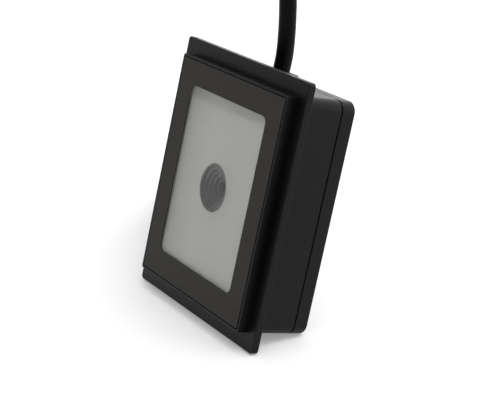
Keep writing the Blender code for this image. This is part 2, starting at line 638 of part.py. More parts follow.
def lens_holder():
    """The neck and box that hold the barrel over the image sensor."""
    holder = slab("lens_holder", (HOLDER_BASE, HOLDER_BASE), NECK_BACK, HOLDER_BACK, "baffle_black",
                  corner=HOLDER_WALL)
    join(holder, rod("holder_neck", SOCKET_RADIUS + HOLDER_WALL, (0.0, HOLDER_FRONT, 0.0),
                     (0.0, NECK_BACK + EMBED, 0.0)))
    cut(holder,
        slab("sensor_cavity", (HOLDER_CAVITY, HOLDER_CAVITY), SENSOR_CAVITY_FRONT,
             HOLDER_BACK + EMBED),
        rod("barrel_bore", SOCKET_RADIUS, (0.0, HOLDER_FRONT - EMBED, 0.0),
            (0.0, SENSOR_CAVITY_FRONT + EMBED, 0.0)))
    return holder


def camera_parts():
    """The image sensor and the small board behind the lens."""
    sensor_back = CAMERA_BOARD_FRONT - SEAT_GAP
    slab("image_sensor", (SENSOR_SIZE, SENSOR_SIZE), sensor_back - SENSOR_THICKNESS, sensor_back,
         "chip")
    board = slab("camera_board", (CAMERA_BOARD_SIZE, CAMERA_BOARD_SIZE), CAMERA_BOARD_FRONT,
                 CAMERA_BOARD_BACK, "circuit_board", corner=CAMERA_POST_RADIUS)
    half = CAMERA_POST_PITCH / 2
    cut(board, *posts("camera_board_hole", grid(half, half), SMALL_SCREW["shank"] + SCREW_CLEARANCE,
                      CAMERA_BOARD_FRONT - EMBED, CAMERA_BOARD_BACK + EMBED))


def decoder_places():
    """Where the four posts of the decoder board stand."""
    half_x = DECODER_WIDTH / 2 - DECODER_POST_INSET
    half_z = DECODER_HEIGHT / 2 - DECODER_POST_INSET
    return [(x, z - DECODER_DROP) for x, z in grid(half_x, half_z)]


def engine_frame():
    """The frame that carries the light board, the camera and the decoder board."""
    lip = (LEDGE_WIDTH - 2 * SEAT_GAP, LEDGE_HEIGHT - 2 * SEAT_GAP)
    mouth = (lip[0] - 2 * FRAME_LIP, lip[1] - 2 * FRAME_LIP)
    frame = slab("engine_frame", (FRAME_WIDTH, FRAME_HEIGHT), FRAME_FRONT, FRAME_BACK, "baffle_black",
                 corner=BLOCK_CORNER)
    join(frame, slab("frame_lip", lip, DIFFUSER_BACK + SEAT_GAP, FRAME_FRONT + EMBED,
                     corner=LEDGE_CORNER - SEAT_GAP))
    side_places = [(-SIDE_POST_X, 0.0), (SIDE_POST_X, 0.0)]
    cut(frame,
        slab("frame_mouth", mouth, DIFFUSER_BACK, FRAME_FRONT + FRAME_LIP + EMBED,
             corner=LEDGE_CORNER - SEAT_GAP),
        slab("frame_chamber", (CHAMBER_WIDTH, CHAMBER_HEIGHT), FRAME_FRONT + FRAME_LIP,
             FRAME_PLATE_FRONT),
        rod("frame_port", PORT_RADIUS, (0.0, FRAME_FRONT, 0.0), (0.0, FRAME_BACK + EMBED, 0.0),
            facets=PORT_FACETS),
        *posts("frame_notch", grid(BOSS_X, BOSS_Z), BOSS_RADIUS + SEAT_GAP, DIFFUSER_BACK,
               FRAME_BACK + EMBED, facets=ROUND_FACETS),
        *posts("side_notch", side_places, SIDE_POST_RADIUS + SEAT_GAP, DIFFUSER_BACK,
               FRAME_PLATE_FRONT),
        *posts("side_hole", side_places, SMALL_SCREW["shank"] + SCREW_CLEARANCE,
               FRAME_PLATE_FRONT - EMBED, FRAME_BACK + EMBED))
    half = CAMERA_POST_PITCH / 2
    camera_end = CAMERA_BOARD_FRONT - SEAT_GAP
    decoder_end = DECODER_FRONT - SEAT_GAP
    join(frame,
         *posts("camera_post", grid(half, half), CAMERA_POST_RADIUS, FRAME_BACK - EMBED, camera_end),
         *posts("decoder_post", decoder_places(), DECODER_POST_RADIUS, FRAME_BACK - EMBED, decoder_end))
    depth = SMALL_SCREW["length"] + SEAT_GAP
    pilot = SMALL_SCREW["shank"] + SCREW_CLEARANCE
    cut(frame,
        *posts("camera_pilot", grid(half, half), pilot, camera_end - depth, camera_end + EMBED),
        *posts("decoder_pilot", decoder_places(), pilot, decoder_end - depth, decoder_end + EMBED))
    return frame


def light_board():
    """The board round the camera port and the lamps that light the diffuser from behind."""
    back = LIGHT_BOARD_FRONT + BOARD_THICKNESS
    board = slab("light_board", (LIGHT_BOARD_WIDTH, LIGHT_BOARD_HEIGHT), LIGHT_BOARD_FRONT, back,
                 "circuit_board", corner=FRAME_WALL)
    cut(board, rod("board_port", PORT_RADIUS, (0.0, LIGHT_BOARD_FRONT - EMBED, 0.0),
                   (0.0, back + EMBED, 0.0), facets=PORT_FACETS))
    lamp_back = LIGHT_BOARD_FRONT - SEAT_GAP
    pitch = (LAMP_SPREAD * LIGHT_BOARD_WIDTH, LAMP_SPREAD * LIGHT_BOARD_HEIGHT)
    places = [(i * pitch[0], j * pitch[1]) for j in (1, 0, -1) for i in (-1, 0, 1) if i or j]
    for number, place in enumerate(places, 1):
        slab(f"lamp_{number}", LAMP_SIZE[:2], lamp_back - LAMP_SIZE[2], lamp_back, "lamp",
             centre=place)


def decoder_parts():
    """The decoder board with its chips, buzzer, board link and the socket for the inner lead."""
    centre = (0.0, -DECODER_DROP)
    board = slab("decoder_board", (DECODER_WIDTH, DECODER_HEIGHT), DECODER_FRONT, DECODER_BACK,
                 "circuit_board", corner=FRAME_WALL, centre=centre)
    cut(board, *posts("decoder_board_hole", decoder_places(), SMALL_SCREW["shank"] + SCREW_CLEARANCE,
                      DECODER_FRONT - EMBED, DECODER_BACK + EMBED))
    chip_front = DECODER_BACK + SEAT_GAP
    for name, size, place in (("processor_chip", PROCESSOR_SIZE, PROCESSOR_PLACE),
                              ("memory_chip", MEMORY_SIZE, MEMORY_PLACE)):
        slab(name, size[:2], chip_front, chip_front + size[2], "chip", centre=place)
    front_face = DECODER_FRONT - SEAT_GAP
    buzzer = [(BUZZER_RADIUS, front_face), (BUZZER_RADIUS, front_face - BUZZER_HEIGHT),
              (BUZZER_RADIUS / 4, front_face - BUZZER_HEIGHT),
              (BUZZER_RADIUS / 4, front_face - BUZZER_HEIGHT / 2), (0.0, front_face - BUZZER_HEIGHT / 2)]
    buzzer_place = (BUZZER_INSET_X - DECODER_WIDTH / 2, BUZZER_INSET_Z - DECODER_HEIGHT / 2)
    turned("buzzer", [(0.0, front_face)] + buzzer, "chip", place=buzzer_place, closed=False)
    slab("board_link", LINK_SIZE, CAMERA_BOARD_BACK + SEAT_GAP, front_face, "white_plastic",
         centre=LINK_PLACE)
    slab("lead_socket", SOCKET_SIZE[:2], front_face - SOCKET_SIZE[2], front_face, "white_plastic",
         centre=(0.0, SOCKET_HEIGHT))


def inner_lead():
    """The lead inside the housing, from the grommet down to its plug on the decoder board."""
    plug_middle = DECODER_FRONT - SEAT_GAP - SOCKET_SIZE[2] / 2
    plug_foot = SOCKET_HEIGHT + SOCKET_SIZE[1] / 2 + SEAT_GAP
    plug_top = plug_foot + LEAD_PLUG_SIZE[1]
    slab("lead_plug", LEAD_PLUG_SIZE[:2], plug_middle - LEAD_PLUG_SIZE[2] / 2,
         plug_middle + LEAD_PLUG_SIZE[2] / 2, "white_plastic",
         centre=(0.0, plug_foot + LEAD_PLUG_SIZE[1] / 2))
    low = Vector((0.0, plug_middle, plug_top + SEAT_GAP))
    high = Vector((0.0, OUTLET_DEPTH, GROMMET_FOOT - SEAT_GAP))
    rise = high.z - low.z
    points = [low, low + Vector((0.0, 0.0, rise / 4)), high - Vector((0.0, 0.0, rise / 4)), high]
    tube("inner_lead", points, INNER_LEAD_RADIUS, "cable_jacket", parent=REST)


def tube(name, points, radius, surface, parent=None):
    """A round cable along a list of points, with closed ends."""
    curve = bpy.data.curves.new(name, "CURVE")
    curve.dimensions = "3D"
    curve.bevel_depth = radius
    curve.bevel_resolution = 3
    curve.use_fill_caps = True
    spline = curve.splines.new("POLY")
    spline.points.add(len(points) - 1)
    for knot, point in zip(spline.points, points):
        knot.co = (*point, 1.0)
    thing = bpy.data.objects.new(name, curve)
    thing.parent = parent
    curve.materials.append(material(surface))
    PARTS.objects.link(thing)
    return thing


def smooth_route(route, spacing):
    """Evenly spaced points on the smooth curve through a route's points."""
    knots = [Vector(point) for point in route]
    knots = [2 * knots[0] - knots[1]] + knots + [2 * knots[-1] - knots[-2]]
    fine = []
    pieces = 24
    for before, start, end, after in zip(knots, knots[1:], knots[2:], knots[3:]):
        for piece in range(pieces):
            t = piece / pieces
            fine.append(0.5 * (2 * start + (end - before) * t
                               + (2 * before - 5 * start + 4 * end - after) * t ** 2
                               + (3 * start - before - 3 * end + after) * t ** 3))
    fine.append(knots[-2])
    lengths = [0.0]
    for a, b in zip(fine, fine[1:]):
        lengths.append(lengths[-1] + (b - a).length)
    count = max(2, round(lengths[-1] / spacing))
    points = []
    place = 0
    for i in range(count + 1):
        target = lengths[-1] * i / count
        while place < len(fine) - 2 and lengths[place + 1] < target:
            place += 1
        share = (target - lengths[place]) / (lengths[place + 1] - lengths[place])
        points.append(fine[place].lerp(fine[place + 1], share))
    return points


def screw(name, place, head_front, size, surface):
    """A pan-head screw that points to the front, with its head at the back."""
    head, height, shank, length = size["head"], size["height"], size["shank"], size["length"]
    crown = head_front + height
    profile = [(0.0, crown), (head * 0.7, crown), (head, crown - height * 0.35), (head, head_front),
               (shank, head_front), (shank, head_front - length + shank),
               (0.0, head_front - length)]
    return turned(name, profile, surface, place=place, facets=SMALL_FACETS, closed=False)


def all_screws():
    """Screws of the cover, of the engine frame, of the camera board and of the decoder board."""
    half = CAMERA_POST_PITCH / 2
    groups = [
        ("cover_screw", grid(BOSS_X, BOSS_Z), BODY_DEPTH - COVER_COUNTERBORE + SEAT_GAP, COVER_SCREW,
         "black_steel"),
        ("frame_screw", [(-SIDE_POST_X, 0.0), (SIDE_POST_X, 0.0)], FRAME_BACK + SEAT_GAP, SMALL_SCREW,
         "steel"),
        ("camera_screw", grid(half, half), CAMERA_BOARD_BACK + SEAT_GAP, SMALL_SCREW, "steel"),
        ("decoder_screw", decoder_places(), DECODER_BACK + SEAT_GAP, SMALL_SCREW, "steel"),
    ]
    for name, places, head_front, size, surface in groups:
        for number, place in enumerate(places, 1):
            screw(f"{name}_{number}", place, head_front, size, surface)


def upright_block(name, size, foot, crown, surface=None, corner=0.0, edge=0.0):
    """A block that stands up along the flange at the cable outlet, with rounded corners."""
    bm = bmesh.new()
    bmesh.ops.create_cube(bm, size=1.0)
    bmesh.ops.scale(bm, vec=(size[0], size[1], crown - foot), verts=bm.verts)
    bmesh.ops.translate(bm, vec=(0.0, OUTLET_DEPTH, (foot + crown) / 2), verts=bm.verts)
    if corner > 0.0:
        along = [e for e in bm.edges if abs(e.verts[0].co.z - e.verts[1].co.z) > (crown - foot) / 2]
        bmesh.ops.bevel(bm, geom=along, offset=corner, offset_type="OFFSET", segments=EDGE_FACETS,
                        profile=0.5, affect="EDGES", clamp_overlap=True)
    if edge > 0.0:
        rim = [e for e in bm.edges if all(abs(v.co.z - crown) < 1e-6 for v in e.verts)]
        bmesh.ops.bevel(bm, geom=rim, offset=edge, offset_type="OFFSET", segments=EDGE_FACETS,
                        profile=0.5, affect="EDGES", clamp_overlap=True)
    return add_object(name, mesh_from(name, bm), surface)


def cable_grommet():
    """The rubber grommet that the top walls of housing and cover hold, with a seat for the cable."""
    size = (GROMMET_WIDTH, GROMMET_DEPTH)
    grommet = upright_block("cable_grommet", size, GROMMET_SEAT, GROMMET_CROWN, "rubber",
                            corner=GROMMET_CORNER, edge=SEAT_GAP)
    inner_top = GROMMET_FOOT + GROMMET_INNER
    join(grommet,
         rod("grommet_neck", GROMMET_NECK_RADIUS, (0.0, OUTLET_DEPTH, inner_top - EMBED),
             (0.0, OUTLET_DEPTH, GROMMET_SEAT + EMBED)),
         upright_block("grommet_foot", size, GROMMET_FOOT, inner_top, corner=GROMMET_CORNER))
    cut(grommet, rod("cable_seat", CABLE_DIAMETER / 2 + SEAT_GAP,
                     (0.0, OUTLET_DEPTH, GROMMET_CROWN - GROMMET_BORE_DEPTH),
                     (0.0, OUTLET_DEPTH, GROMMET_CROWN + EMBED)))
    return grommet


def hank_stations():
    """Middle and outward direction of each cross-section round the hank."""
    stations = []
    for turn in range(2):
        middle = Vector((0.0, HANK_HALF_STRAIGHT if turn == 0 else -HANK_HALF_STRAIGHT, 0.0))
        for step in range(HANK_FACETS + 1):
            angle = math.pi * (turn + step / HANK_FACETS)
            stations.append((middle, Vector((math.cos(angle), math.sin(angle), 0.0))))
    return stations


def cable_hank():
    """The wound cable as one long ring of the hank's outer shape."""
    inner = HANK_MEAN_RADIUS - HANK_HALF_WIDTH
    outer = HANK_MEAN_RADIUS + HANK_HALF_WIDTH
    soft = CABLE_DIAMETER / 2
    cut_back = soft * (1 - math.sqrt(0.5))
    section = [(outer - soft, HANK_TOP), (outer - cut_back, HANK_TOP - cut_back),
               (outer, HANK_TOP - soft), (outer, HANK_BASE + soft),
               (outer - cut_back, HANK_BASE + cut_back), (outer - soft, HANK_BASE),
               (inner + soft, HANK_BASE), (inner + cut_back, HANK_BASE + cut_back),
               (inner, HANK_BASE + soft), (inner, HANK_TOP - soft),
               (inner + cut_back, HANK_TOP - cut_back), (inner + soft, HANK_TOP)]
    up = Vector((0.0, 0.0, 1.0))
    bm = bmesh.new()
    rings = [[bm.verts.new(middle + outward * reach + up * height) for reach, height in section]
             for middle, outward in hank_stations()]
    for ring, following in zip(rings, rings[1:] + rings[:1]):
        for i in range(len(section)):
            j = (i + 1) % len(section)
            bm.faces.new((ring[i], ring[j], following[j], following[i]))
    return add_object("cable_hank", mesh_from("cable_hank", bm), "cable_jacket", parent=HANK_AXES)


def hank_tie():
    """The strap round the hank's bundle, at its end next to the housing."""
    outer = HANK_MEAN_RADIUS + HANK_HALF_WIDTH
    inner = HANK_MEAN_RADIUS - HANK_HALF_WIDTH
    inner_reach = math.sqrt(inner ** 2 - (TIE_WIDTH / 2) ** 2)
    near = -HANK_HALF_STRAIGHT - outer - SEAT_GAP
    far = -HANK_HALF_STRAIGHT - inner_reach + SEAT_GAP
    low, high = HANK_BASE - SEAT_GAP, HANK_TOP + SEAT_GAP
    bands = []
    for name, wall, surface in (("hank_tie", TIE_THICKNESS, "rubber"), ("tie_inside", 0.0, None)):
        bm = bmesh.new()
        bmesh.ops.create_cube(bm, size=1.0)
        reach = TIE_WIDTH if surface else 2 * TIE_WIDTH
        bmesh.ops.scale(bm, vec=(reach, far - near + 2 * wall, high - low + 2 * wall), verts=bm.verts)
        bmesh.ops.translate(bm, vec=(0.0, (near + far) / 2, (low + high) / 2), verts=bm.verts)
        along = [e for e in bm.edges if abs(e.verts[0].co.x - e.verts[1].co.x) > TIE_WIDTH / 2]
        bmesh.ops.bevel(bm, geom=along, offset=SEAT_GAP + wall, offset_type="OFFSET",
                        segments=EDGE_FACETS, profile=0.5, affect="EDGES", clamp_overlap=True)
        bands.append(add_object(name, mesh_from(name, bm), surface, parent=HANK_AXES))
    cut(bands[0], bands[1])


def plug_box(name, size, start, surface=None, corner=0.0, rise=0.0):
    """A block of the plug, from a distance behind the plug's end of the relief towards its tip."""
    width, length, height = size
    bm = bmesh.new()
    bmesh.ops.create_cube(bm, size=1.0)
    bmesh.ops.scale(bm, vec=(width, length, height), verts=bm.verts)
    bmesh.ops.translate(bm, vec=(PLUG_PLACE[0], PLUG_PLACE[1] - start - length / 2,
                                 PLUG_AXIS_HEIGHT + rise), verts=bm.verts)
    if corner > 0.0:
        along = [e for e in bm.edges if abs(e.verts[0].co.y - e.verts[1].co.y) > length / 2]
        bmesh.ops.bevel(bm, geom=along, offset=corner, offset_type="OFFSET", segments=EDGE_FACETS,
                        profile=0.5, affect="EDGES", clamp_overlap=True)
    return add_object(name, mesh_from(name, bm), surface, parent=HANK_AXES)


def usb_plug():
    """The plug at the cable's far end: grip with its relief, metal shell and contact tongue."""
    grip_start = PLUG_RELIEF_LENGTH
    grip = plug_box("plug_grip", PLUG_BODY, grip_start, "cable_jacket", corner=PLUG_BODY_CORNER)
    x, y = PLUG_PLACE
    relief_radius = CABLE_DIAMETER / 2 + PLUG_RELIEF_WALL
    join(grip, rod("plug_relief", relief_radius, (x, y, PLUG_AXIS_HEIGHT),
                   (x, y - grip_start - EMBED, PLUG_AXIS_HEIGHT), parent=HANK_AXES))
    cut(grip, rod("plug_seat", CABLE_DIAMETER / 2 + SEAT_GAP, (x, y + EMBED, PLUG_AXIS_HEIGHT),
                  (x, y - GROMMET_BORE_DEPTH, PLUG_AXIS_HEIGHT), parent=HANK_AXES))
    shell_start = grip_start + PLUG_BODY[1] + SEAT_GAP
    shell = plug_box("plug_shell", PLUG_SHELL, shell_start, "steel")
    inside = (PLUG_SHELL[0] - 2 * PLUG_SHELL_WALL, PLUG_SHELL[1],
              PLUG_SHELL[2] - 2 * PLUG_SHELL_WALL)
    cut(shell, plug_box("shell_inside", inside, shell_start + PLUG_SHELL_WALL))
    tongue = (inside[0] - 2 * SEAT_GAP, PLUG_SHELL[1] - 2 * PLUG_SHELL_WALL - SEAT_GAP,
              PLUG_TONGUE_THICKNESS)
    lift = inside[2] / 2 - SEAT_GAP - PLUG_TONGUE_THICKNESS / 2
    plug_box("plug_tongue", tongue, shell_start + PLUG_SHELL_WALL + SEAT_GAP, "white_plastic", rise=lift)


def cable():
    """The free cable from the grommet to the hank, and its tail from the hank to the plug."""
    points = smooth_route(cable_points(), TUBE_POINT_SPACING)
    tube("cable", points, CABLE_DIAMETER / 2, "cable_jacket")
    rise = PLUG_AXIS_HEIGHT - TAIL_HEIGHT
    tail = []
    for degrees, share in TAIL_ROUTE:
        angle = math.radians(degrees)
        tail.append((HANK_INNER_TURN * math.cos(angle),
                     HANK_HALF_STRAIGHT + HANK_INNER_TURN * math.sin(angle),
                     TAIL_HEIGHT + rise * share))
    tail.append((PLUG_PLACE[0], PLUG_PLACE[1] - GROMMET_BORE_DEPTH + SEAT_GAP, PLUG_AXIS_HEIGHT))
    tube("cable_tail", smooth_route(tail, CABLE_DIAMETER), CABLE_DIAMETER / 2, "cable_jacket",
         parent=HANK_AXES)


main_housing()
rear_cover()
cover_seal()
front_panel()
window_plate()
diffuser()
lens_baffle()
lens_barrel()
lens("front_lens", FRONT_LENS_START)
lens("rear_lens", REAR_LENS_START)
lens_holder()
camera_parts()
engine_frame()
light_board()
decoder_parts()
inner_lead()
all_screws()
cable_grommet()
cable()
cable_hank()
hank_tie()
usb_plug()
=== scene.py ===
import json
import math

import bmesh
import bpy
from mathutils import Matrix, Vector


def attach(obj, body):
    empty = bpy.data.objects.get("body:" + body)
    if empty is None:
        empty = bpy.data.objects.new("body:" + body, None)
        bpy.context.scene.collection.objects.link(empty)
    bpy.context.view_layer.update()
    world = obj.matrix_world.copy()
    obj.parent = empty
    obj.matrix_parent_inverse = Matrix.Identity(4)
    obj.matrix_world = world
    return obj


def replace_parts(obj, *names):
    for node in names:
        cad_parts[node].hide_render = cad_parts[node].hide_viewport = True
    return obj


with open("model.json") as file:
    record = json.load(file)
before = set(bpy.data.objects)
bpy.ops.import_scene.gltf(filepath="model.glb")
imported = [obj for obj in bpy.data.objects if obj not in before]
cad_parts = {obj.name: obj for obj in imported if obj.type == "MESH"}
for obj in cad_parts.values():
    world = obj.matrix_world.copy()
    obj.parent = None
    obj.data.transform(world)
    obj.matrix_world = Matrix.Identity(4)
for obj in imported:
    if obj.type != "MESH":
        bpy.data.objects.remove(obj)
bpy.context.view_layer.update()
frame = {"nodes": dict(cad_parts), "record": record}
SCENE = bpy.context.scene

# Camera, in metres
CAMERA_PLACE = Vector((0.353916, -0.212381, 0.184390))
CAMERA_FORWARD = Vector((-0.80285, 0.48773, -0.34284)).normalized()
CAMERA_RIGHT = Vector((0.52292, 0.85229, -0.01291))
FOCAL_PX = 1445.895
IMAGE_WIDTH = 500
SENSOR_WIDTH = 36.0


def make_camera():
    """The photo's camera: a long lens from the front right, a little above."""
    data = bpy.data.cameras.new("camera")
    data.sensor_fit = "HORIZONTAL"
    data.sensor_width = SENSOR_WIDTH
    data.lens = FOCAL_PX * SENSOR_WIDTH / IMAGE_WIDTH
    data.clip_start = 0.01
    data.clip_end = 30.0
    camera = bpy.data.objects.new("camera", data)
    SCENE.collection.objects.link(camera)
    up = CAMERA_RIGHT.cross(CAMERA_FORWARD).normalized()
    right = CAMERA_FORWARD.cross(up)
    turn = Matrix((right, up, -CAMERA_FORWARD)).transposed()
    camera.matrix_world = Matrix.Translation(CAMERA_PLACE) @ turn.to_4x4()
    SCENE.camera = camera


make_camera()

# Sizes, in millimetres, the same as the frame's except where a line says otherwise
MM = 0.001
GAP = 0.3
BLOCK_W, BLOCK_H, BLOCK_PROUD = 59.4, 70.0, 3.2
FLANGE_W, FLANGE_H, FLANGE_T = 68.0, 80.0, 2.3
BODY_W, BODY_H, BODY_D, WALL = 62.5, 70.9, 17.8, 2.0
PARTING, COVER_EDGE = 12.9, 0.8
GROOVE = 0.42  # 0.3 in the frame; wider so that the line shows as in the photo
BODY_CORNER, FLANGE_EDGE = 3.5, 0.25
BLOCK_FRONT = -(FLANGE_T + BLOCK_PROUD)
RIM, PANEL_GROOVE = 0.65, 0.25
PANEL_SHIFT = 0.2  # 0 in the frame; the photo's groove is wider at the right of the panel
PANEL_W = BLOCK_W - 2 * (RIM + PANEL_GROOVE)
PANEL_H = BLOCK_H - 2 * (RIM + PANEL_GROOVE)
PANEL_BACK = BLOCK_FRONT + 0.3
PLATE_FRONT = PANEL_BACK + 0.1
PLATE_BACK = PLATE_FRONT + 1.0
LEDGE_FRONT = PLATE_BACK + 0.1
LEDGE_BACK = LEDGE_FRONT + 1.2
LEDGE_W = BLOCK_W - 2 * RIM - 7.6
LEDGE_H = BLOCK_H - 2 * RIM - 7.6
FRONT_CAVITY_END, REAR_CAVITY_START = 2.0, 1.0
WINDOW_W, WINDOW_H, WINDOW_CORNER, WINDOW_LIFT = 42.6, 53.1, 2.0, 0.3
SHEET_THICKNESS = 0.6
PORT_RADIUS = 7.4
TRAY_FRONT, TRAY_WALL, TRAY_FLOOR = 5.0, 1.3, 1.8
TONGUE_REACH, TONGUE_END = 1.6, 15.0
BOSS_X, BOSS_Z = 27.05, 31.25
BOSS_ROOM, COLUMN, SCREW_HOLE, COUNTERBORE = 3.1, 2.8, 1.4, 2.5
BOSS_ROOM_END, COLUMN_START = PARTING + 0.45, PARTING + 0.15
COLUMN_END, COUNTERBORE_START = BODY_D - 1.5, BODY_D - 1.6
BEHIND_COVER = 20.0
OUTLET_DEPTH, OUTLET_RADIUS = 11.0, 3.6
INSIDE_TOP, ABOVE_TOP = 30, 40
COLLAR_SIZE, COLLAR_HEIGHT, COLLAR_CORNER, COLLAR_EDGE = (10.4, 6.8), 1.65, 0.8, 0.3
NECK_RADIUS, NECK_FOOT = 3.3, 32.0
INNER_COLLAR_FOOT, INNER_COLLAR_CROWN = 31.65, 33.15
CABLE = 5.3
OVERRUN = 1.0  # how far a cutter stands out of what it cuts


def resting_matrix():
    """The scanner's axes (X right, Y back from the flange's rear face, Z up) at rest, per mm."""
    edge = (-FLANGE_EDGE, -FLANGE_H / 2 + FLANGE_EDGE)
    cover = (BODY_D - COVER_EDGE, -BODY_H / 2 + COVER_EDGE)
    dy, dz = cover[0] - edge[0], cover[1] - edge[1]
    lean = math.atan2(dz, dy) - math.asin((COVER_EDGE - FLANGE_EDGE) / math.hypot(dy, dz))
    turn = Matrix.Rotation(-lean, 4, "X")
    low = turn @ Vector((0, edge[0], edge[1]))
    front = turn @ Vector((0, BLOCK_FRONT, -BLOCK_H / 2))
    back = turn @ Vector((0, BODY_D, BODY_H / 2))
    place = Vector((0, -(front.y + back.y) / 2, FLANGE_EDGE - low.z))
    return Matrix.Scale(MM, 4) @ Matrix.Translation(place) @ turn


REST = resting_matrix()

# Materials
PATCH_SCALE = 40.0
RELIEF_DEPTH = 0.00003
MIDDLE_NOISE = (0.3, 0.7)
# The milky sheet is darker round the port, a painted shade in its colour and glow: its centre at
# rest, and from where to where, in metres
PORT_PAINTED_SHADE_CENTRE = REST @ Vector((2.5, LEDGE_FRONT, 0.0))
PORT_PAINTED_SHADE_REACH = (0.0049, 0.0109)
PORT_PAINTED_SHADE = 0.86


def new_material(name):
    """An empty node tree with an output."""
    material = bpy.data.materials.new(name)
    material.use_nodes = True
    tree = material.node_tree
    tree.nodes.clear()
    return material, tree, tree.nodes.new("ShaderNodeOutputMaterial")


def noise(tree, scale, detail=4.0, rough=0.55, stretch=None):
    """Noise in the object's own metres."""
    coordinates = tree.nodes.new("ShaderNodeTexCoord")
    mapping = tree.nodes.new("ShaderNodeMapping")
    if stretch:
        mapping.inputs["Scale"].default_value = stretch
    tree.links.new(coordinates.outputs["Object"], mapping.inputs["Vector"])
    node = tree.nodes.new("ShaderNodeTexNoise")
    node.inputs["Scale"].default_value = scale
    node.inputs["Detail"].default_value = detail
    node.inputs["Roughness"].default_value = rough
    tree.links.new(mapping.outputs["Vector"], node.inputs["Vector"])
    return node.outputs["Fac"]


def ramp(tree, value, colours):
    """Noise from the middle of its range mixed between two colours or greys."""
    node = tree.nodes.new("ShaderNodeValToRGB")
    tree.links.new(value, node.inputs["Fac"])
    for stop, place, colour in zip(node.color_ramp.elements, MIDDLE_NOISE, colours):
        stop.position = place
        stop.color = (*colour, 1.0) if isinstance(colour, tuple) else (colour, colour, colour, 1.0)
    return node.outputs["Color"]


def calculate(tree, operation, *values, clamp=False):
    """A number worked out from numbers and from other nodes' outputs."""
    node = tree.nodes.new("ShaderNodeMath")
    node.operation = operation
    node.use_clamp = clamp
    for socket, value in zip(node.inputs, values):
        if isinstance(value, bpy.types.NodeSocket):
            tree.links.new(value, socket)
        else:
            socket.default_value = value
    return node.outputs["Value"]


def map_range(tree, value, start, end, kind="LINEAR"):
    """A value between two limits mapped to between two others."""
    node = tree.nodes.new("ShaderNodeMapRange")
    node.interpolation_type = kind
    for socket, number in zip(("From Min", "From Max", "To Min", "To Max"), (*start, *end)):
        node.inputs[socket].default_value = number
    tree.links.new(value, node.inputs["Value"])
    return node.outputs["Result"]


def vector_value(tree, operation, coordinates, other):
    """The distance of coordinates from a place, or their share of a direction."""
    node = tree.nodes.new("ShaderNodeVectorMath")
    node.operation = operation
    node.inputs[1].default_value = other
    tree.links.new(coordinates, node.inputs[0])
    return node.outputs["Value"]


def mix(tree, share, first, second):
    """Two shaders mixed by a share of the second."""
    node = tree.nodes.new("ShaderNodeMixShader")
    for socket, output in zip(node.inputs, (share, first, second)):
        tree.links.new(output, socket)
    return node.outputs["Shader"]


def shaded(name, dark, light, rough, metallic=0.0, level=0.5, grain=900.0, bump=0.10,
           stretch=None):
    """Principled surface whose colour, roughness and relief follow fine and broad noise."""
    material, tree, output = new_material(name)
    shader = tree.nodes.new("ShaderNodeBsdfPrincipled")
    shader.inputs["Metallic"].default_value = metallic
    shader.inputs["Specular IOR Level"].default_value = level
    broad = noise(tree, PATCH_SCALE, 3.0)
    fine = noise(tree, grain, 5.0, 0.6, stretch)
    tree.links.new(ramp(tree, broad, (dark, light)), shader.inputs["Base Color"])
    tree.links.new(ramp(tree, fine, rough), shader.inputs["Roughness"])
    relief = tree.nodes.new("ShaderNodeBump")
    relief.inputs["Strength"].default_value = bump
    relief.inputs["Distance"].default_value = RELIEF_DEPTH
    tree.links.new(fine, relief.inputs["Height"])
    tree.links.new(relief.outputs["Normal"], shader.inputs["Normal"])
    tree.links.new(shader.outputs["BSDF"], output.inputs["Surface"])
    return material


def milky(name, dark, light, scatter, glow, painted_shade_margin, painted_rim_shade):
    """A sheet that scatters light and has a painted glow, with painted shade in its colour and glow
    towards its left rim and round the port.
    """
    material = shaded(name, dark, light, rough=(0.45, 0.55), level=0.3, bump=0.03)
    tree = material.node_tree
    shader = next(node for node in tree.nodes if node.type == "BSDF_PRINCIPLED")
    place = tree.nodes.new("ShaderNodeTexCoord").outputs["Object"]
    parts = tree.nodes.new("ShaderNodeSeparateXYZ")
    tree.links.new(place, parts.inputs["Vector"])
    # painted shade: colour and glow fall off towards the left rim and round the port
    from_port = vector_value(tree, "DISTANCE", place, PORT_PAINTED_SHADE_CENTRE)
    painted_shade_factor = calculate(tree, "MULTIPLY",
                       map_range(tree, parts.outputs["X"], painted_shade_margin, (painted_rim_shade, 1.0)),
                       map_range(tree, from_port, PORT_PAINTED_SHADE_REACH, (PORT_PAINTED_SHADE, 1.0)))
    # the base colour darkened by the painted shade
    painted_shade_colour = tree.nodes.new("ShaderNodeVectorMath")
    painted_shade_colour.operation = "SCALE"
    tree.links.new(shader.inputs["Base Color"].links[0].from_socket, painted_shade_colour.inputs[0])
    tree.links.new(painted_shade_factor, painted_shade_colour.inputs["Scale"])
    tree.links.new(painted_shade_colour.outputs["Vector"], shader.inputs["Base Color"])
    # painted glow: the sheet emits light of its own, standing in for light reaching it from behind
    tree.links.new(calculate(tree, "MULTIPLY", painted_shade_factor, glow), shader.inputs["Emission Strength"])
    shader.inputs["Emission Color"].default_value = (1.0, 0.995, 0.96, 1.0)
    shader.inputs["Subsurface Weight"].default_value = 1.0
    shader.inputs["Subsurface Radius"].default_value = (1.0, 1.0, 1.0)
    shader.inputs["Subsurface Scale"].default_value = scatter
    return material


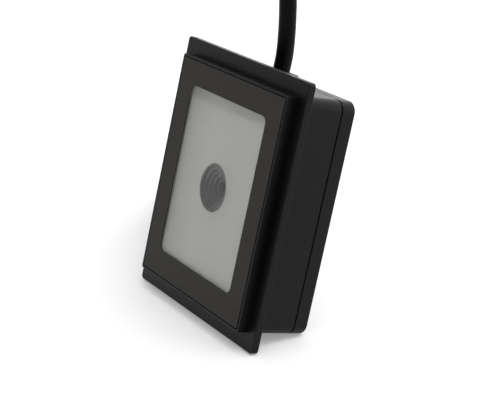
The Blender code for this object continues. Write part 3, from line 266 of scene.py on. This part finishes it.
def clear(name, tint, ior, boost, haze):
    """A clear pane: bends the view, lets light pass straight, and mirrors more towards grazing."""
    material, tree, output = new_material(name)
    straight = tree.nodes.new("ShaderNodeBsdfTransparent")
    bent = tree.nodes.new("ShaderNodeBsdfRefraction")
    bent.inputs["IOR"].default_value = ior
    bent.inputs["Roughness"].default_value = 0.0
    for bsdf in (straight, bent):
        bsdf.inputs["Color"].default_value = (*tint, 1.0)
    path = tree.nodes.new("ShaderNodeLightPath").outputs
    viewed = calculate(tree, "MAXIMUM", path["Is Camera Ray"], path["Is Transmission Ray"])
    through = mix(tree, viewed, straight.outputs["BSDF"], bent.outputs["BSDF"])
    mirror = tree.nodes.new("ShaderNodeBsdfGlossy")
    smear = ramp(tree, noise(tree, 60.0, 3.0), (haze, haze * 1.8))
    tree.links.new(smear, mirror.inputs["Roughness"])
    fresnel = tree.nodes.new("ShaderNodeFresnel")
    fresnel.inputs["IOR"].default_value = ior
    reflected = calculate(tree, "MULTIPLY", fresnel.outputs["Fac"], boost, clamp=True)
    inside = tree.nodes.new("ShaderNodeNewGeometry").outputs["Backfacing"]
    outside = calculate(tree, "MULTIPLY_ADD", inside, -1.0, 1.0)
    share = calculate(tree, "MULTIPLY", reflected, outside)
    tree.links.new(mix(tree, share, through, mirror.outputs["BSDF"]), output.inputs["Surface"])
    return material


MATERIALS = {
    "black_plastic": shaded("moulded black", (0.0025, 0.0024, 0.0023), (0.0040, 0.0039, 0.0037),
                            rough=(0.34, 0.42), level=0.15, bump=0.12),
    "black_film": shaded("matt black film", (0.0190, 0.0170, 0.0147), (0.0218, 0.0196, 0.0173),
                         rough=(0.50, 0.58), level=0.20, bump=0.06, grain=1400.0),
    # the milky sheet's glow is painted light, and its colour and glow carry painted shade towards
    # the left rim and round the port
    "milky_plastic": milky("milky sheet", (0.405, 0.395, 0.38), (0.43, 0.42, 0.405),
                           scatter=0.004, glow=0.08, painted_shade_margin=(-0.0235, -0.006), painted_rim_shade=0.72),
    "baffle_black": shaded("matt black plastic", (0.010, 0.010, 0.0095), (0.013, 0.013, 0.0125),
                           rough=(0.30, 0.38), level=0.5, bump=0.05),
    "rubber": shaded("black rubber", (0.016, 0.016, 0.016), (0.022, 0.022, 0.021),
                     rough=(0.58, 0.70), level=0.4, bump=0.15),
    "circuit_board": shaded("solder mask", (0.008, 0.070, 0.030), (0.014, 0.100, 0.042),
                            rough=(0.35, 0.50), bump=0.08, grain=500.0),
    "chip": shaded("chip package", (0.014, 0.014, 0.016), (0.022, 0.022, 0.024),
                   rough=(0.40, 0.55), bump=0.1),
    "lamp": shaded("lamp phosphor", (0.85, 0.74, 0.30), (0.90, 0.82, 0.42), rough=(0.25, 0.35)),
    "steel": shaded("plated steel", (0.50, 0.50, 0.49), (0.62, 0.62, 0.61), rough=(0.22, 0.34),
                    metallic=1.0, bump=0.05, stretch=(1.0, 8.0, 1.0)),
    "black_steel": shaded("blackened steel", (0.035, 0.035, 0.035), (0.055, 0.055, 0.055),
                          rough=(0.30, 0.42), metallic=0.9, bump=0.08),
    "white_plastic": shaded("off-white plastic", (0.74, 0.73, 0.68), (0.80, 0.79, 0.74),
                            rough=(0.35, 0.45), bump=0.05),
    "cable_jacket": shaded("cable jacket", (0.002, 0.002, 0.0023), (0.003, 0.003, 0.0034),
                           rough=(0.38, 0.48), level=0.07, bump=0.10, grain=700.0),
    "gold": shaded("gold plating", (0.80, 0.55, 0.20), (0.88, 0.64, 0.28), rough=(0.2, 0.3),
                   metallic=1.0, bump=0.03),
    "clear_plastic": clear("clear window", (0.96, 0.96, 0.95), ior=1.49, boost=1.1, haze=0.03),
    "glass": clear("lens glass", (0.80, 0.86, 0.90), ior=1.6, boost=1.2, haze=0.01),
}

# Modelling helpers; local sizes in millimetres
AXIS_X, AXIS_Y, AXIS_Z = range(3)
SHARP_ANGLE = 32
SAME_PLACE = 1e-4


def finish_mesh(name, bm, surface=None, place=REST, sharp=SHARP_ANGLE):
    """A bmesh as an object with smooth rounded edges; a hidden cutter when it has no surface."""
    bmesh.ops.recalc_face_normals(bm, faces=bm.faces)
    mesh = bpy.data.meshes.new(name)
    bm.to_mesh(mesh)
    bm.free()
    mesh.transform(place)
    thing = bpy.data.objects.new(name, mesh)
    SCENE.collection.objects.link(thing)
    if surface:
        show(thing, surface, sharp)
    return thing


def show(thing, surface, sharp):
    """Give a piece its material, its shading and its place on the body."""
    mesh = thing.data
    mesh.materials.clear()
    mesh.materials.append(MATERIALS[surface])
    mesh.shade_smooth()
    mesh.set_sharp_from_angle(angle=math.radians(sharp))
    normals = thing.modifiers.new("even normals", "WEIGHTED_NORMAL")
    normals.keep_sharp = True
    normals.weight = 100
    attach(thing, "root")


def cube_bm(size, centre):
    """A box of a size round a centre."""
    bm = bmesh.new()
    bmesh.ops.create_cube(bm, size=1.0)
    bmesh.ops.scale(bm, vec=size, verts=bm.verts)
    bmesh.ops.translate(bm, vec=centre, verts=bm.verts)
    return bm


def edges_along(bm, axis, length):
    """The edges that run along an axis for more than half a length."""
    return [e for e in bm.edges if abs(e.verts[0].co[axis] - e.verts[1].co[axis]) > length / 2]


def edges_at(bm, axis, place):
    """The edges that lie at one place along an axis."""
    return [e for e in bm.edges if all(abs(v.co[axis] - place) < SAME_PLACE for v in e.verts)]


def round_off(bm, edges, radius, segments):
    """Round some edges."""
    bmesh.ops.bevel(bm, geom=edges, offset=radius, offset_type="OFFSET", segments=segments,
                    profile=0.5, affect="EDGES")


def plate_bm(size, front, back, corner=0.0, edges=(0.0, 0.0), centre=(0.0, 0.0), segments=12,
             edge_segments=3):
    """A slab between two depths with rounded corners and rounded front and back rims."""
    bm = cube_bm((size[0], back - front, size[1]), (centre[0], (front + back) / 2, centre[1]))
    if corner > 0.0:
        round_off(bm, edges_along(bm, AXIS_Y, back - front), corner, segments)
    for depth, radius in zip((front, back), edges):
        if radius > 0.0:
            round_off(bm, edges_at(bm, AXIS_Y, depth), radius, edge_segments)
    return bm


def plate(name, size, front, back, surface=None, **options):
    """A slab as an object."""
    return finish_mesh(name, plate_bm(size, front, back, **options), surface)


def box_bm(low, high, corner=0.0, segments=4, axis=AXIS_Y):
    """A box between two corners, its edges along one axis rounded."""
    low, high = Vector(low), Vector(high)
    bm = cube_bm(high - low, (low + high) / 2)
    if corner:
        round_off(bm, edges_along(bm, axis, (high - low)[axis]), corner, segments)
    return bm


def rod(name, radius, start, end, facets=48, place=REST):
    """A cylinder from one point to another."""
    start, end = Vector(start), Vector(end)
    bm = bmesh.new()
    bmesh.ops.create_cone(bm, cap_ends=True, segments=facets, radius1=radius, radius2=radius,
                          depth=(end - start).length)
    turn = Vector((0, 0, 1)).rotation_difference(end - start).to_matrix().to_4x4()
    bmesh.ops.transform(bm, matrix=Matrix.Translation((start + end) / 2) @ turn, verts=bm.verts)
    return finish_mesh(name, bm, place=place)


def turned(name, profile, surface, sharp):
    """A closed profile of (radius, depth) points turned about the axis that runs straight back."""
    bm = bmesh.new()
    ring = [bm.verts.new((radius, depth, 0.0)) for radius, depth in profile]
    edges = [bm.edges.new((a, b)) for a, b in zip(ring, ring[1:] + ring[:1])]
    bmesh.ops.spin(bm, geom=ring + edges, cent=(0, 0, 0), axis=(0, 1, 0), angle=2 * math.pi,
                   steps=128, use_merge=True)
    bmesh.ops.remove_doubles(bm, verts=bm.verts, dist=1e-5)
    return finish_mesh(name, bm, surface, sharp=sharp)


def combine(base, steps, surface, sharp=SHARP_ANGLE):
    """Join or cut a base with hidden operands, keep the result and drop the operands."""
    for operation, operand in steps:
        step = base.modifiers.new(operand.name, "BOOLEAN")
        step.operation = operation
        step.object = operand
        step.solver = "EXACT"
    bpy.context.view_layer.update()
    made = base.evaluated_get(bpy.context.evaluated_depsgraph_get())
    mesh = bpy.data.meshes.new_from_object(made)
    base.modifiers.clear()
    base.data = mesh
    for _, operand in steps:
        bpy.data.objects.remove(operand, do_unlink=True)
    show(base, surface, sharp)


# The scanner
def outlet_cut():
    """The round hole for the cable through the top wall."""
    return "DIFFERENCE", rod("outlet", OUTLET_RADIUS, (0, OUTLET_DEPTH, INSIDE_TOP),
                             (0, OUTLET_DEPTH, ABOVE_TOP))


def make_housing():
    """Flange, raised block with its pocket, and side walls, with fine roundings."""
    middle = -FLANGE_T / 2
    steps = [
        ("UNION", plate("block", (BLOCK_W, BLOCK_H), BLOCK_FRONT, middle, corner=0.8,
                        edges=(0.12, 0.0), segments=6)),
        ("UNION", plate("walls", (BODY_W, BODY_H), middle, PARTING - GROOVE / 2,
                        corner=BODY_CORNER, edges=(0.0, 0.07), segments=20, edge_segments=2)),
        ("DIFFERENCE", plate("pocket", (BLOCK_W - 2 * RIM, BLOCK_H - 2 * RIM),
                             BLOCK_FRONT - 2 * OVERRUN, LEDGE_FRONT, corner=0.8, segments=6)),
        ("DIFFERENCE", plate("light opening", (LEDGE_W, LEDGE_H), LEDGE_FRONT - OVERRUN / 2,
                             LEDGE_BACK + OVERRUN / 2, corner=2.0)),
        ("DIFFERENCE", plate("front cavity", (BLOCK_W - 2 * WALL, BLOCK_H - 2 * WALL), LEDGE_BACK,
                             FRONT_CAVITY_END, corner=0.8)),
        ("DIFFERENCE", plate("rear cavity", (BODY_W - 2 * WALL, BODY_H - 2 * WALL),
                             REAR_CAVITY_START, BODY_D, corner=BODY_CORNER - WALL)),
        outlet_cut(),
    ]
    housing = plate("housing", (FLANGE_W, FLANGE_H), -FLANGE_T, 0.0, corner=1.2,
                    edges=(FLANGE_EDGE, FLANGE_EDGE), segments=8)
    combine(housing, steps, "black_plastic")
    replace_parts(housing, "main_housing")


def make_cover():
    """The rear tray with its rounded back edge and counterbored holes."""
    cover = plate("cover", (BODY_W, BODY_H), PARTING + GROOVE / 2, BODY_D, corner=BODY_CORNER,
                  edges=(0.07, COVER_EDGE), segments=20, edge_segments=5)
    steps = [
        ("UNION", plate("tongue", (BODY_W - 2 * WALL - 2 * GAP, BODY_H - 2 * WALL - 2 * GAP),
                        PARTING - GROOVE / 2 - TONGUE_REACH, TONGUE_END,
                        corner=BODY_CORNER - WALL - GAP)),
        ("DIFFERENCE", plate("inside", (BODY_W - 2 * WALL - 2 * TRAY_WALL,
                                        BODY_H - 2 * WALL - 2 * TRAY_WALL), TRAY_FRONT,
                             BODY_D - TRAY_FLOOR, corner=BODY_CORNER - WALL - TRAY_WALL)),
        outlet_cut(),
    ]
    corners = [(sx * BOSS_X, sz * BOSS_Z) for sz in (1, -1) for sx in (-1, 1)]
    for number, (x, z) in enumerate(corners):
        for operation, name, radius, start, end in (
                ("DIFFERENCE", "boss room", BOSS_ROOM, TRAY_FRONT, BOSS_ROOM_END),
                ("UNION", "column", COLUMN, COLUMN_START, COLUMN_END),
                ("DIFFERENCE", "hole", SCREW_HOLE, TRAY_FRONT, BEHIND_COVER),
                ("DIFFERENCE", "counterbore", COUNTERBORE, COUNTERBORE_START, BEHIND_COVER)):
            steps.append((operation, rod(f"{name} {number}", radius, (x, start, z), (x, end, z))))
    combine(cover, steps, "black_plastic")
    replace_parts(cover, "rear_cover")


def make_front():
    """Front panel with its window opening, clear plate, and milky sheet with the port hole."""
    panel = plate("panel", (PANEL_W - PANEL_SHIFT, PANEL_H), BLOCK_FRONT, PANEL_BACK, corner=0.6,
                  edges=(0.06, 0.0), segments=5, edge_segments=2, centre=(-PANEL_SHIFT, 0))
    opening = plate("opening", (WINDOW_W, WINDOW_H), BLOCK_FRONT - OVERRUN, PANEL_BACK + OVERRUN,
                    corner=WINDOW_CORNER, segments=14, centre=(0, WINDOW_LIFT))
    combine(panel, [("DIFFERENCE", opening)], "black_film")
    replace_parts(panel, "front_panel")
    window = plate("window", (PANEL_W, PANEL_H), PLATE_FRONT, PLATE_BACK, "clear_plastic",
                   corner=0.6)
    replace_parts(window, "window_plate")
    sheet = plate("milky_sheet", (LEDGE_W - 2 * GAP, LEDGE_H - 2 * GAP), LEDGE_FRONT,
                  LEDGE_FRONT + SHEET_THICKNESS, corner=1.7)
    port = rod("port", PORT_RADIUS, (0, LEDGE_FRONT - OVERRUN, 0),
               (0, LEDGE_FRONT + 2 * OVERRUN, 0), facets=128)
    combine(sheet, [("DIFFERENCE", port)], "milky_plastic")
    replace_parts(sheet, "diffuser")


def make_baffle():
    """The stepped funnel, each step with a rounded lip."""
    mouth, tread, riser, lip, steps = 6.6, 1.1, 0.9, 0.28, 4
    tube, flange, flange_thickness = 7.1, 9.0, 0.8
    throat, throat_front, back = 4.5, 0.4, 3.1
    profile = [(flange, back), (flange, back - flange_thickness), (tube, back - flange_thickness),
               (tube, LEDGE_FRONT), (mouth + lip, LEDGE_FRONT),
               (mouth + lip * 0.3, LEDGE_FRONT + lip * 0.3), (mouth, LEDGE_FRONT + lip)]
    for step in range(1, steps + 1):
        depth = LEDGE_FRONT + step * riser
        inner = mouth - step * tread
        profile += [(inner + tread, depth), (inner + lip, depth),
                    (inner + lip * 0.3, depth + lip * 0.3), (inner, depth + lip)]
    profile += [(mouth - steps * tread, throat_front), (throat, throat_front), (throat, back)]
    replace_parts(turned("baffle", profile, "baffle_black", sharp=50), "lens_baffle")


def collar_bm(foot, crown, edge=0.0):
    """An upright block round the cable outlet with rounded corners and crown."""
    bm = cube_bm((*COLLAR_SIZE, crown - foot), (0, OUTLET_DEPTH, (foot + crown) / 2))
    round_off(bm, edges_along(bm, AXIS_Z, crown - foot), COLLAR_CORNER, 4)
    if edge:
        round_off(bm, edges_at(bm, AXIS_Z, crown), edge, 3)
    return bm


def make_grommet():
    """The collar round the cable on the top face."""
    foot = BODY_H / 2 + GAP
    crown = foot + COLLAR_HEIGHT
    collar = finish_mesh("collar", collar_bm(foot, crown, COLLAR_EDGE))
    combine(collar, [
        ("UNION", rod("neck", NECK_RADIUS, (0, OUTLET_DEPTH, NECK_FOOT),
                      (0, OUTLET_DEPTH, foot + GAP))),
        ("UNION", finish_mesh("foot", collar_bm(INNER_COLLAR_FOOT, INNER_COLLAR_CROWN))),
        ("DIFFERENCE", rod("seat", CABLE / 2 + GAP, (0, OUTLET_DEPTH, crown - OVERRUN),
                           (0, OUTLET_DEPTH, crown + OVERRUN))),
    ], "rubber")
    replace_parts(collar, "cable_grommet")


# Cable: out of the collar, over in a bow, down behind the housing, and round the hank.
# The hank's turns are counted from JOIN: outer turns down, in at the bottom, inner turns up.
HANK_TURN = math.radians(58.0)
HANK_ASIDE, HANK_BEHIND = 30.85, 21.9
HALF_STRAIGHT = 15.8
OUTER_TURN, INNER_TURN = 21.95, 16.6
LOWEST, PITCH = 3.6, 5.36
JOIN, DOWN, INWARD, UP, OVERLAP = 0.04, 3.35, 0.36, 3.32, 0.12
LAST_RISE, LAST_TURN = 0.33, 0.345
WOUND_STEP = 0.008
LEAD_ON = 3
HANK_TOP = 24.9
PLUG_BACK, PLUG_HEIGHT, PLUG_SEAT = 14.0, 29.2, 0.7
SEAT_DEPTH, LEAD = 1.0, 5.0
CURVE_STEPS = 24
CABLE_STEP = 1.6
OUTLET_HEIGHT = BODY_H / 2 + GAP + COLLAR_HEIGHT
OUTLET = (REST @ Vector((0, OUTLET_DEPTH, OUTLET_HEIGHT))) / MM
# Across and back from the outlet in millimetres, and up as a share of the outlet's height
CABLE_ROUTE = [
    (0.0, 2.0, 1.144), (0.0, 2.4, 1.219), (0.0, 2.6, 1.309), (-1.0, 3.3, 1.455),
    (-5.2, 6.0, 1.575), (-12.0, 10.3, 1.657), (-20.2, 15.6, 1.686), (-28.4, 20.9, 1.657),
    (-35.2, 25.3, 1.575), (-39.0, 27.9, 1.455), (-40.2, 28.7, 1.315), (-40.3, 28.6, 1.164),
    (-40.3, 28.4, 1.063), (-40.3, 28.0, 0.980), (-40.3, 27.2, 0.894), (-40.3, 25.5, 0.808),
]
# Across and along the hank, and up from its top
HANK_APPROACH = [(14.3, -17.0, 26.1), (15.3, -16.6, 19.9), (17.9, -14.5, 10.3), (20.6, -8.5, 2.6),
                 (21.8, -1.0, -1.6)]
HANK = (Matrix.Translation((-BODY_W / 2 - HANK_ASIDE, OUTLET.y + HANK_BEHIND, 0))
        @ Matrix.Rotation(HANK_TURN, 4, "Z"))
HANK_PLACE = Matrix.Scale(MM, 4) @ HANK


def ease(value, start, end):
    """0 before start, 1 after end, smooth between."""
    t = min(1.0, max(0.0, (value - start) / (end - start)))
    return t * t * (3 - 2 * t)


def smooth(points):
    """Fine points on the smooth curve through the given points."""
    knots = [Vector(p) for p in points]
    knots = [2 * knots[0] - knots[1]] + knots + [2 * knots[-1] - knots[-2]]
    fine = []
    for before, start, end, after in zip(knots, knots[1:], knots[2:], knots[3:]):
        for piece in range(CURVE_STEPS):
            t = piece / CURVE_STEPS
            fine.append(0.5 * (2 * start + (end - before) * t
                               + (2 * before - 5 * start + 4 * end - after) * t ** 2
                               + (3 * start - before - 3 * end + after) * t ** 3))
    return fine + [knots[-2]]


def resample(points, spacing):
    """Points at even distances along a line of points."""
    lengths = [0.0]
    for a, b in zip(points, points[1:]):
        lengths.append(lengths[-1] + (b - a).length)
    count = max(2, round(lengths[-1] / spacing))
    result, place = [], 0
    for i in range(count + 1):
        target = lengths[-1] * i / count
        while place < len(points) - 2 and lengths[place + 1] < target:
            place += 1
        share = (target - lengths[place]) / (lengths[place + 1] - lengths[place])
        result.append(points[place].lerp(points[place + 1], share))
    return result


def on_track(turns, radius):
    """Place across and along the hank after a number of turns, from the middle of its right run."""
    straight, end = 2 * HALF_STRAIGHT, math.pi * radius
    way = (turns % 1.0) * 2 * (straight + end)
    if way < HALF_STRAIGHT:
        return radius, way
    way -= HALF_STRAIGHT
    if way < end:
        angle = way / radius
        return radius * math.cos(angle), HALF_STRAIGHT + radius * math.sin(angle)
    way -= end
    if way < straight:
        return -radius, HALF_STRAIGHT - way
    way -= straight
    if way < end:
        angle = way / radius
        return -radius * math.cos(angle), -HALF_STRAIGHT - radius * math.sin(angle)
    return radius, way - end - HALF_STRAIGHT


def wound_point(turns):
    """The cable's middle in the hank after a number of turns."""
    lowest_reached, rise_start = JOIN + DOWN, JOIN + DOWN + INWARD
    last = rise_start + UP
    radius = OUTER_TURN + (INNER_TURN - OUTER_TURN) * ease(turns, lowest_reached, rise_start)
    height = LOWEST + PITCH * max(0.0, lowest_reached + OVERLAP - turns)
    height += PITCH * max(0.0, min(turns, last) - (rise_start - OVERLAP))
    end_height = LOWEST + PITCH * (UP + OVERLAP)
    height += (PLUG_HEIGHT - end_height) * ease(turns, last, last + LAST_RISE)
    return HANK @ Vector((*on_track(turns, radius), height))


def cable_line():
    """The whole cable's centreline, in millimetres."""
    foot, lead = OUTLET_HEIGHT - SEAT_DEPTH + GAP, OUTLET_HEIGHT + LEAD
    route = [(REST @ Vector((0, OUTLET_DEPTH, height))) / MM for height in (foot, lead)]
    route += [Vector((x, OUTLET.y + y, OUTLET.z * share)) for x, y, share in CABLE_ROUTE]
    route += [HANK @ Vector((x, y, HANK_TOP + rise)) for x, y, rise in HANK_APPROACH]
    stop = JOIN + DOWN + INWARD + UP + LAST_TURN
    count = round((stop - JOIN) / WOUND_STEP)
    wound = [wound_point(JOIN + (stop - JOIN) * i / count) for i in range(count + 1)]
    # three points of the hank lead the free curve onto it, and it stops at the second
    knots = route + wound[:2 * LEAD_ON + 1:LEAD_ON]
    free = smooth(knots)[:CURVE_STEPS * (len(knots) - 2)]
    plug_end = HANK @ Vector((-INNER_TURN, PLUG_BACK - PLUG_SEAT, PLUG_HEIGHT))
    return free + wound[LEAD_ON:] + [plug_end]


def make_cord():
    """The cable as one smooth tube, standing for the frame's cable, hank and tail."""
    points = resample(cable_line(), CABLE_STEP)
    curve = bpy.data.curves.new("data_cable", "CURVE")
    curve.dimensions = "3D"
    curve.bevel_depth = CABLE / 2 * MM
    curve.bevel_resolution = 4
    curve.use_fill_caps = True
    spline = curve.splines.new("POLY")
    spline.points.add(len(points) - 1)
    for knot, point in zip(spline.points, points):
        knot.co = (*(point * MM), 1.0)
    spline.use_smooth = True
    curve.materials.append(MATERIALS["cable_jacket"])
    tube = bpy.data.objects.new("data_cable", curve)
    SCENE.collection.objects.link(tube)
    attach(tube, "root")
    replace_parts(tube, "cable", "cable_hank", "cable_tail")


# Plug, lying on the hank; widths and heights of its pieces are halved, to each side of its middle
PLUG_X, PLUG_Y, PLUG_Z = -INNER_TURN, PLUG_BACK, PLUG_HEIGHT
RELIEF_LENGTH, RELIEF_WALL, RELIEF_SINK, SEAT_GAP = 12.0, 1.2, 0.3, 0.05
RELIEF_RINGS, RING_FIRST, RING_PITCH, RING_WIDTH = 4, 2.2, 2.3, 0.9
RING_REACH, RING_SINK, RING_DEPTH = 3.0, 0.1, 0.5
GRIP_X, GRIP_Z, GRIP_LENGTH, GRIP_CORNER, GRIP_EDGE = 8.0, 4.0, 22.0, 2.0, 0.8
RIBS, RIB_START, RIB_END, RIB_PITCH = 5, 16.3, 17.5, 2.6
RIB_DEPTH, RIB_Z = 0.5, 2.6
SHELL_X, SHELL_Z, SHELL_WALL, SHELL_LENGTH, SHELL_GAP = 6.0, 2.25, 0.35, 18.75, 0.3
SHELL_CORNER, MOUTH_CORNER = 0.5, 0.3
MOUTH_X, MOUTH_Z = SHELL_X - SHELL_WALL, SHELL_Z - SHELL_WALL
LATCH_X, LATCH_HALF, LATCH_START, LATCH_END, LATCH_CORNER = 2.3, 1.0, 5.2, 7.7, 0.15
LATCH_LOW, LATCH_HIGH = 1.0, 3.0
TONGUE_X, TONGUE_T, TONGUE_CORNER, TONGUE_DROP = 5.35, 1.7, 0.2, 0.3
TONGUE_FRONT, TONGUE_BACK = 0.35, 0.65
CONTACTS = {-3.5: 8.9, -1.0: 8.0, 1.0: 8.0, 3.5: 8.9}  # offset: length
CONTACT_X, CONTACT_START, CONTACT_LOW, CONTACT_HIGH = 0.5, 1.0, 0.12, 0.01


def box_cut(name, low, high, *rounding):
    """A cut with a box that may be rounded, on the hank's axes."""
    return "DIFFERENCE", finish_mesh(name, box_bm(low, high, *rounding), place=HANK_PLACE)


def make_grip():
    """Grip with ribs at its sides, and the relief with rings cut into it."""
    x, y, z = PLUG_X, PLUG_Y, PLUG_Z
    grip_start, grip_end = y - RELIEF_LENGTH, y - RELIEF_LENGTH - GRIP_LENGTH
    bm = box_bm((x - GRIP_X, grip_end, z - GRIP_Z), (x + GRIP_X, grip_start, z + GRIP_Z),
                GRIP_CORNER, 6)
    for end in (grip_end, grip_start):
        round_off(bm, edges_at(bm, AXIS_Y, end), GRIP_EDGE, 4)
    grip = finish_mesh("grip", bm, place=HANK_PLACE)
    steps = []
    for side in (-1, 1):
        for rib in range(RIBS):
            low = (x + side * GRIP_X - RIB_DEPTH, y - RIB_END - RIB_PITCH * rib, z - RIB_Z)
            high = (x + side * GRIP_X + RIB_DEPTH, y - RIB_START - RIB_PITCH * rib, z + RIB_Z)
            steps.append(box_cut(f"rib {side} {rib}", low, high))
    relief = CABLE / 2 + RELIEF_WALL
    steps.append(("UNION", rod("relief", relief, (x, y, z),
                               (x, y - (RELIEF_LENGTH + RELIEF_SINK), z), place=HANK_PLACE)))
    steps.append(("DIFFERENCE", rod("cable seat", CABLE / 2 + SEAT_GAP, (x, y + OVERRUN, z),
                                    (x, y - OVERRUN, z), place=HANK_PLACE)))
    for ring in range(RELIEF_RINGS):
        at = y - RING_FIRST - RING_PITCH * ring
        for side in (-1, 1):
            middle = z + side * (relief - RING_SINK)
            steps.append(box_cut(f"relief cut {ring} {side}",
                                 (x - RING_REACH, at - RING_WIDTH, middle - RING_DEPTH),
                                 (x + RING_REACH, at, middle + RING_DEPTH)))
    combine(grip, steps, "cable_jacket")
    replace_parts(grip, "plug_grip")
    return grip, grip_end


def make_plug():
    """Grip, metal sleeve with its two windows, tongue and contacts."""
    x, z = PLUG_X, PLUG_Z
    grip, grip_end = make_grip()
    start = grip_end - SHELL_GAP
    end = start - SHELL_LENGTH
    sleeve = finish_mesh("sleeve", box_bm((x - SHELL_X, end, z - SHELL_Z),
                                          (x + SHELL_X, start, z + SHELL_Z), SHELL_CORNER, 4),
                         place=HANK_PLACE)
    cuts = [box_cut("mouth", (x - MOUTH_X, end - OVERRUN, z - MOUTH_Z),
                    (x + MOUTH_X, start - SHELL_WALL, z + MOUTH_Z), MOUTH_CORNER, 4)]
    for side in (-1, 1):
        middle = x + side * LATCH_X
        cuts.append(box_cut(f"window {side}",
                            (middle - LATCH_HALF, end + LATCH_START, z + LATCH_LOW),
                            (middle + LATCH_HALF, end + LATCH_END, z + LATCH_HIGH),
                            LATCH_CORNER, 2, AXIS_Z))
    combine(sleeve, cuts, "steel")
    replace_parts(sleeve, "plug_shell")

    low = z + MOUTH_Z - TONGUE_DROP - TONGUE_T
    tongue = finish_mesh("tongue", box_bm((x - TONGUE_X, end + TONGUE_FRONT, low),
                                          (x + TONGUE_X, start - TONGUE_BACK, low + TONGUE_T),
                                          TONGUE_CORNER, 2),
                         "white_plastic", place=HANK_PLACE)
    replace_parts(tongue, "plug_tongue")
    pieces = [grip, sleeve, tongue]
    for number, (offset, reach) in enumerate(CONTACTS.items()):
        bm = box_bm((x + offset - CONTACT_X, end + CONTACT_START, low - CONTACT_LOW),
                    (x + offset + CONTACT_X, end + CONTACT_START + reach, low - CONTACT_HIGH))
        pieces.append(finish_mesh(f"contact_{number}", bm, "gold", place=HANK_PLACE))
    return pieces


# Tie round the hank
TIE_CLEARANCE, TIE_WALL, TIE_LOW, TIE_CORNER = 0.15, 0.6, 0.6, 2.2
TIE_REACH, TIE_CUTTER_REACH = 4.0, 8.0


def make_tie():
    """The strap round the hank's bundle, at its end next to the housing."""
    outer = OUTER_TURN + CABLE / 2 + TIE_CLEARANCE
    inner = INNER_TURN - CABLE / 2 - TIE_CLEARANCE
    near = -HALF_STRAIGHT - outer - GAP
    far = -HALF_STRAIGHT - math.sqrt(inner ** 2 - TIE_REACH ** 2) + GAP
    low, high = TIE_LOW, HANK_TOP + GAP
    bands = []
    for name, wall, reach in (("tie", TIE_WALL, TIE_REACH), ("tie inside", 0.0, TIE_CUTTER_REACH)):
        bm = box_bm((-reach, near - wall, low - wall), (reach, far + wall, high + wall),
                    TIE_CORNER + wall, 8, AXIS_X)
        bands.append(finish_mesh(name, bm, place=HANK_PLACE))
    tie, inside = bands
    combine(tie, [("DIFFERENCE", inside)], "rubber", sharp=40)
    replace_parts(tie, "hank_tie")
    return tie


# The frame's own nodes
SOFT_EDGE = 0.00008
SOFT_EDGE_ANGLE = 40


def dress_frame():
    """Procedural materials and softened edges for the frame's own nodes."""
    slots = {entry["node"]: entry["material_slot"] for entry in frame["record"]["subparts"]}
    for name, thing in frame["nodes"].items():
        thing.data.materials.clear()
        thing.data.materials.append(MATERIALS[slots[name]])
        if thing.hide_render:
            continue
        bevel = thing.modifiers.new("soft edges", "BEVEL")
        bevel.width = SOFT_EDGE
        bevel.segments = 2
        bevel.limit_method = "ANGLE"
        bevel.angle_limit = math.radians(SOFT_EDGE_ANGLE)
        bevel.harden_normals = True


# Stage and light
FLOOR_SIZE = 6.0
FLOOR_TONES = (0.61, 0.625)
FLOOR_GLOW = 0.28
WORLD_SIDE = (-0.2, 0.98, 0.0)
WORLD_BLEND = (-0.6, 0.6)
WORLD_NEAR, WORLD_FAR = 0.16, 1.9
SUN_TOWARD, SUN_STRENGTH, SUN_SPREAD = (0.12, 0.08, 0.95), 1.5, 50.0


def make_stage():
    """A seamless white floor."""
    bm = bmesh.new()
    bmesh.ops.create_grid(bm, x_segments=1, y_segments=1, size=FLOOR_SIZE)
    mesh = bpy.data.meshes.new("floor")
    bm.to_mesh(mesh)
    bm.free()
    floor = bpy.data.objects.new("floor", mesh)
    SCENE.collection.objects.link(floor)
    material, tree, output = new_material("white floor")
    matt = tree.nodes.new("ShaderNodeBsdfDiffuse")
    tree.links.new(ramp(tree, noise(tree, 3.0), FLOOR_TONES), matt.inputs["Color"])
    glow = tree.nodes.new("ShaderNodeEmission")
    glow.inputs["Strength"].default_value = FLOOR_GLOW
    both = tree.nodes.new("ShaderNodeAddShader")
    tree.links.new(matt.outputs["BSDF"], both.inputs[0])
    tree.links.new(glow.outputs["Emission"], both.inputs[1])
    tree.links.new(both.outputs["Shader"], output.inputs["Surface"])
    mesh.materials.append(material)


def make_sun():
    """Even light from overhead with soft shadows."""
    data = bpy.data.lights.new("overhead", "SUN")
    data.energy = SUN_STRENGTH
    data.angle = math.radians(SUN_SPREAD)
    lamp = bpy.data.objects.new("overhead", data)
    SCENE.collection.objects.link(lamp)
    lamp.matrix_world = Vector(SUN_TOWARD).to_track_quat("Z", "Y").to_matrix().to_4x4()


def make_world():
    """White surroundings, dimmer on the camera's side than behind the scanner."""
    world = bpy.data.worlds.new("white")
    world.use_nodes = True
    tree = world.node_tree
    sky = tree.nodes["Background"]
    sky.inputs["Color"].default_value = (1, 1, 1, 1)
    direction = tree.nodes.new("ShaderNodeTexCoord").outputs["Generated"]
    along = vector_value(tree, "DOT_PRODUCT", direction, WORLD_SIDE)
    strength = map_range(tree, along, WORLD_BLEND, (WORLD_NEAR, WORLD_FAR), "SMOOTHSTEP")
    tree.links.new(strength, sky.inputs["Strength"])
    SCENE.world = world


make_housing()
make_cover()
make_front()
make_baffle()
make_grommet()
PLUG = make_plug()
TIE = make_tie()
make_cord()
dress_frame()
make_stage()
make_world()
make_sun()

SCENE.view_settings.view_transform = "Standard"
SCENE.view_settings.look = "None"
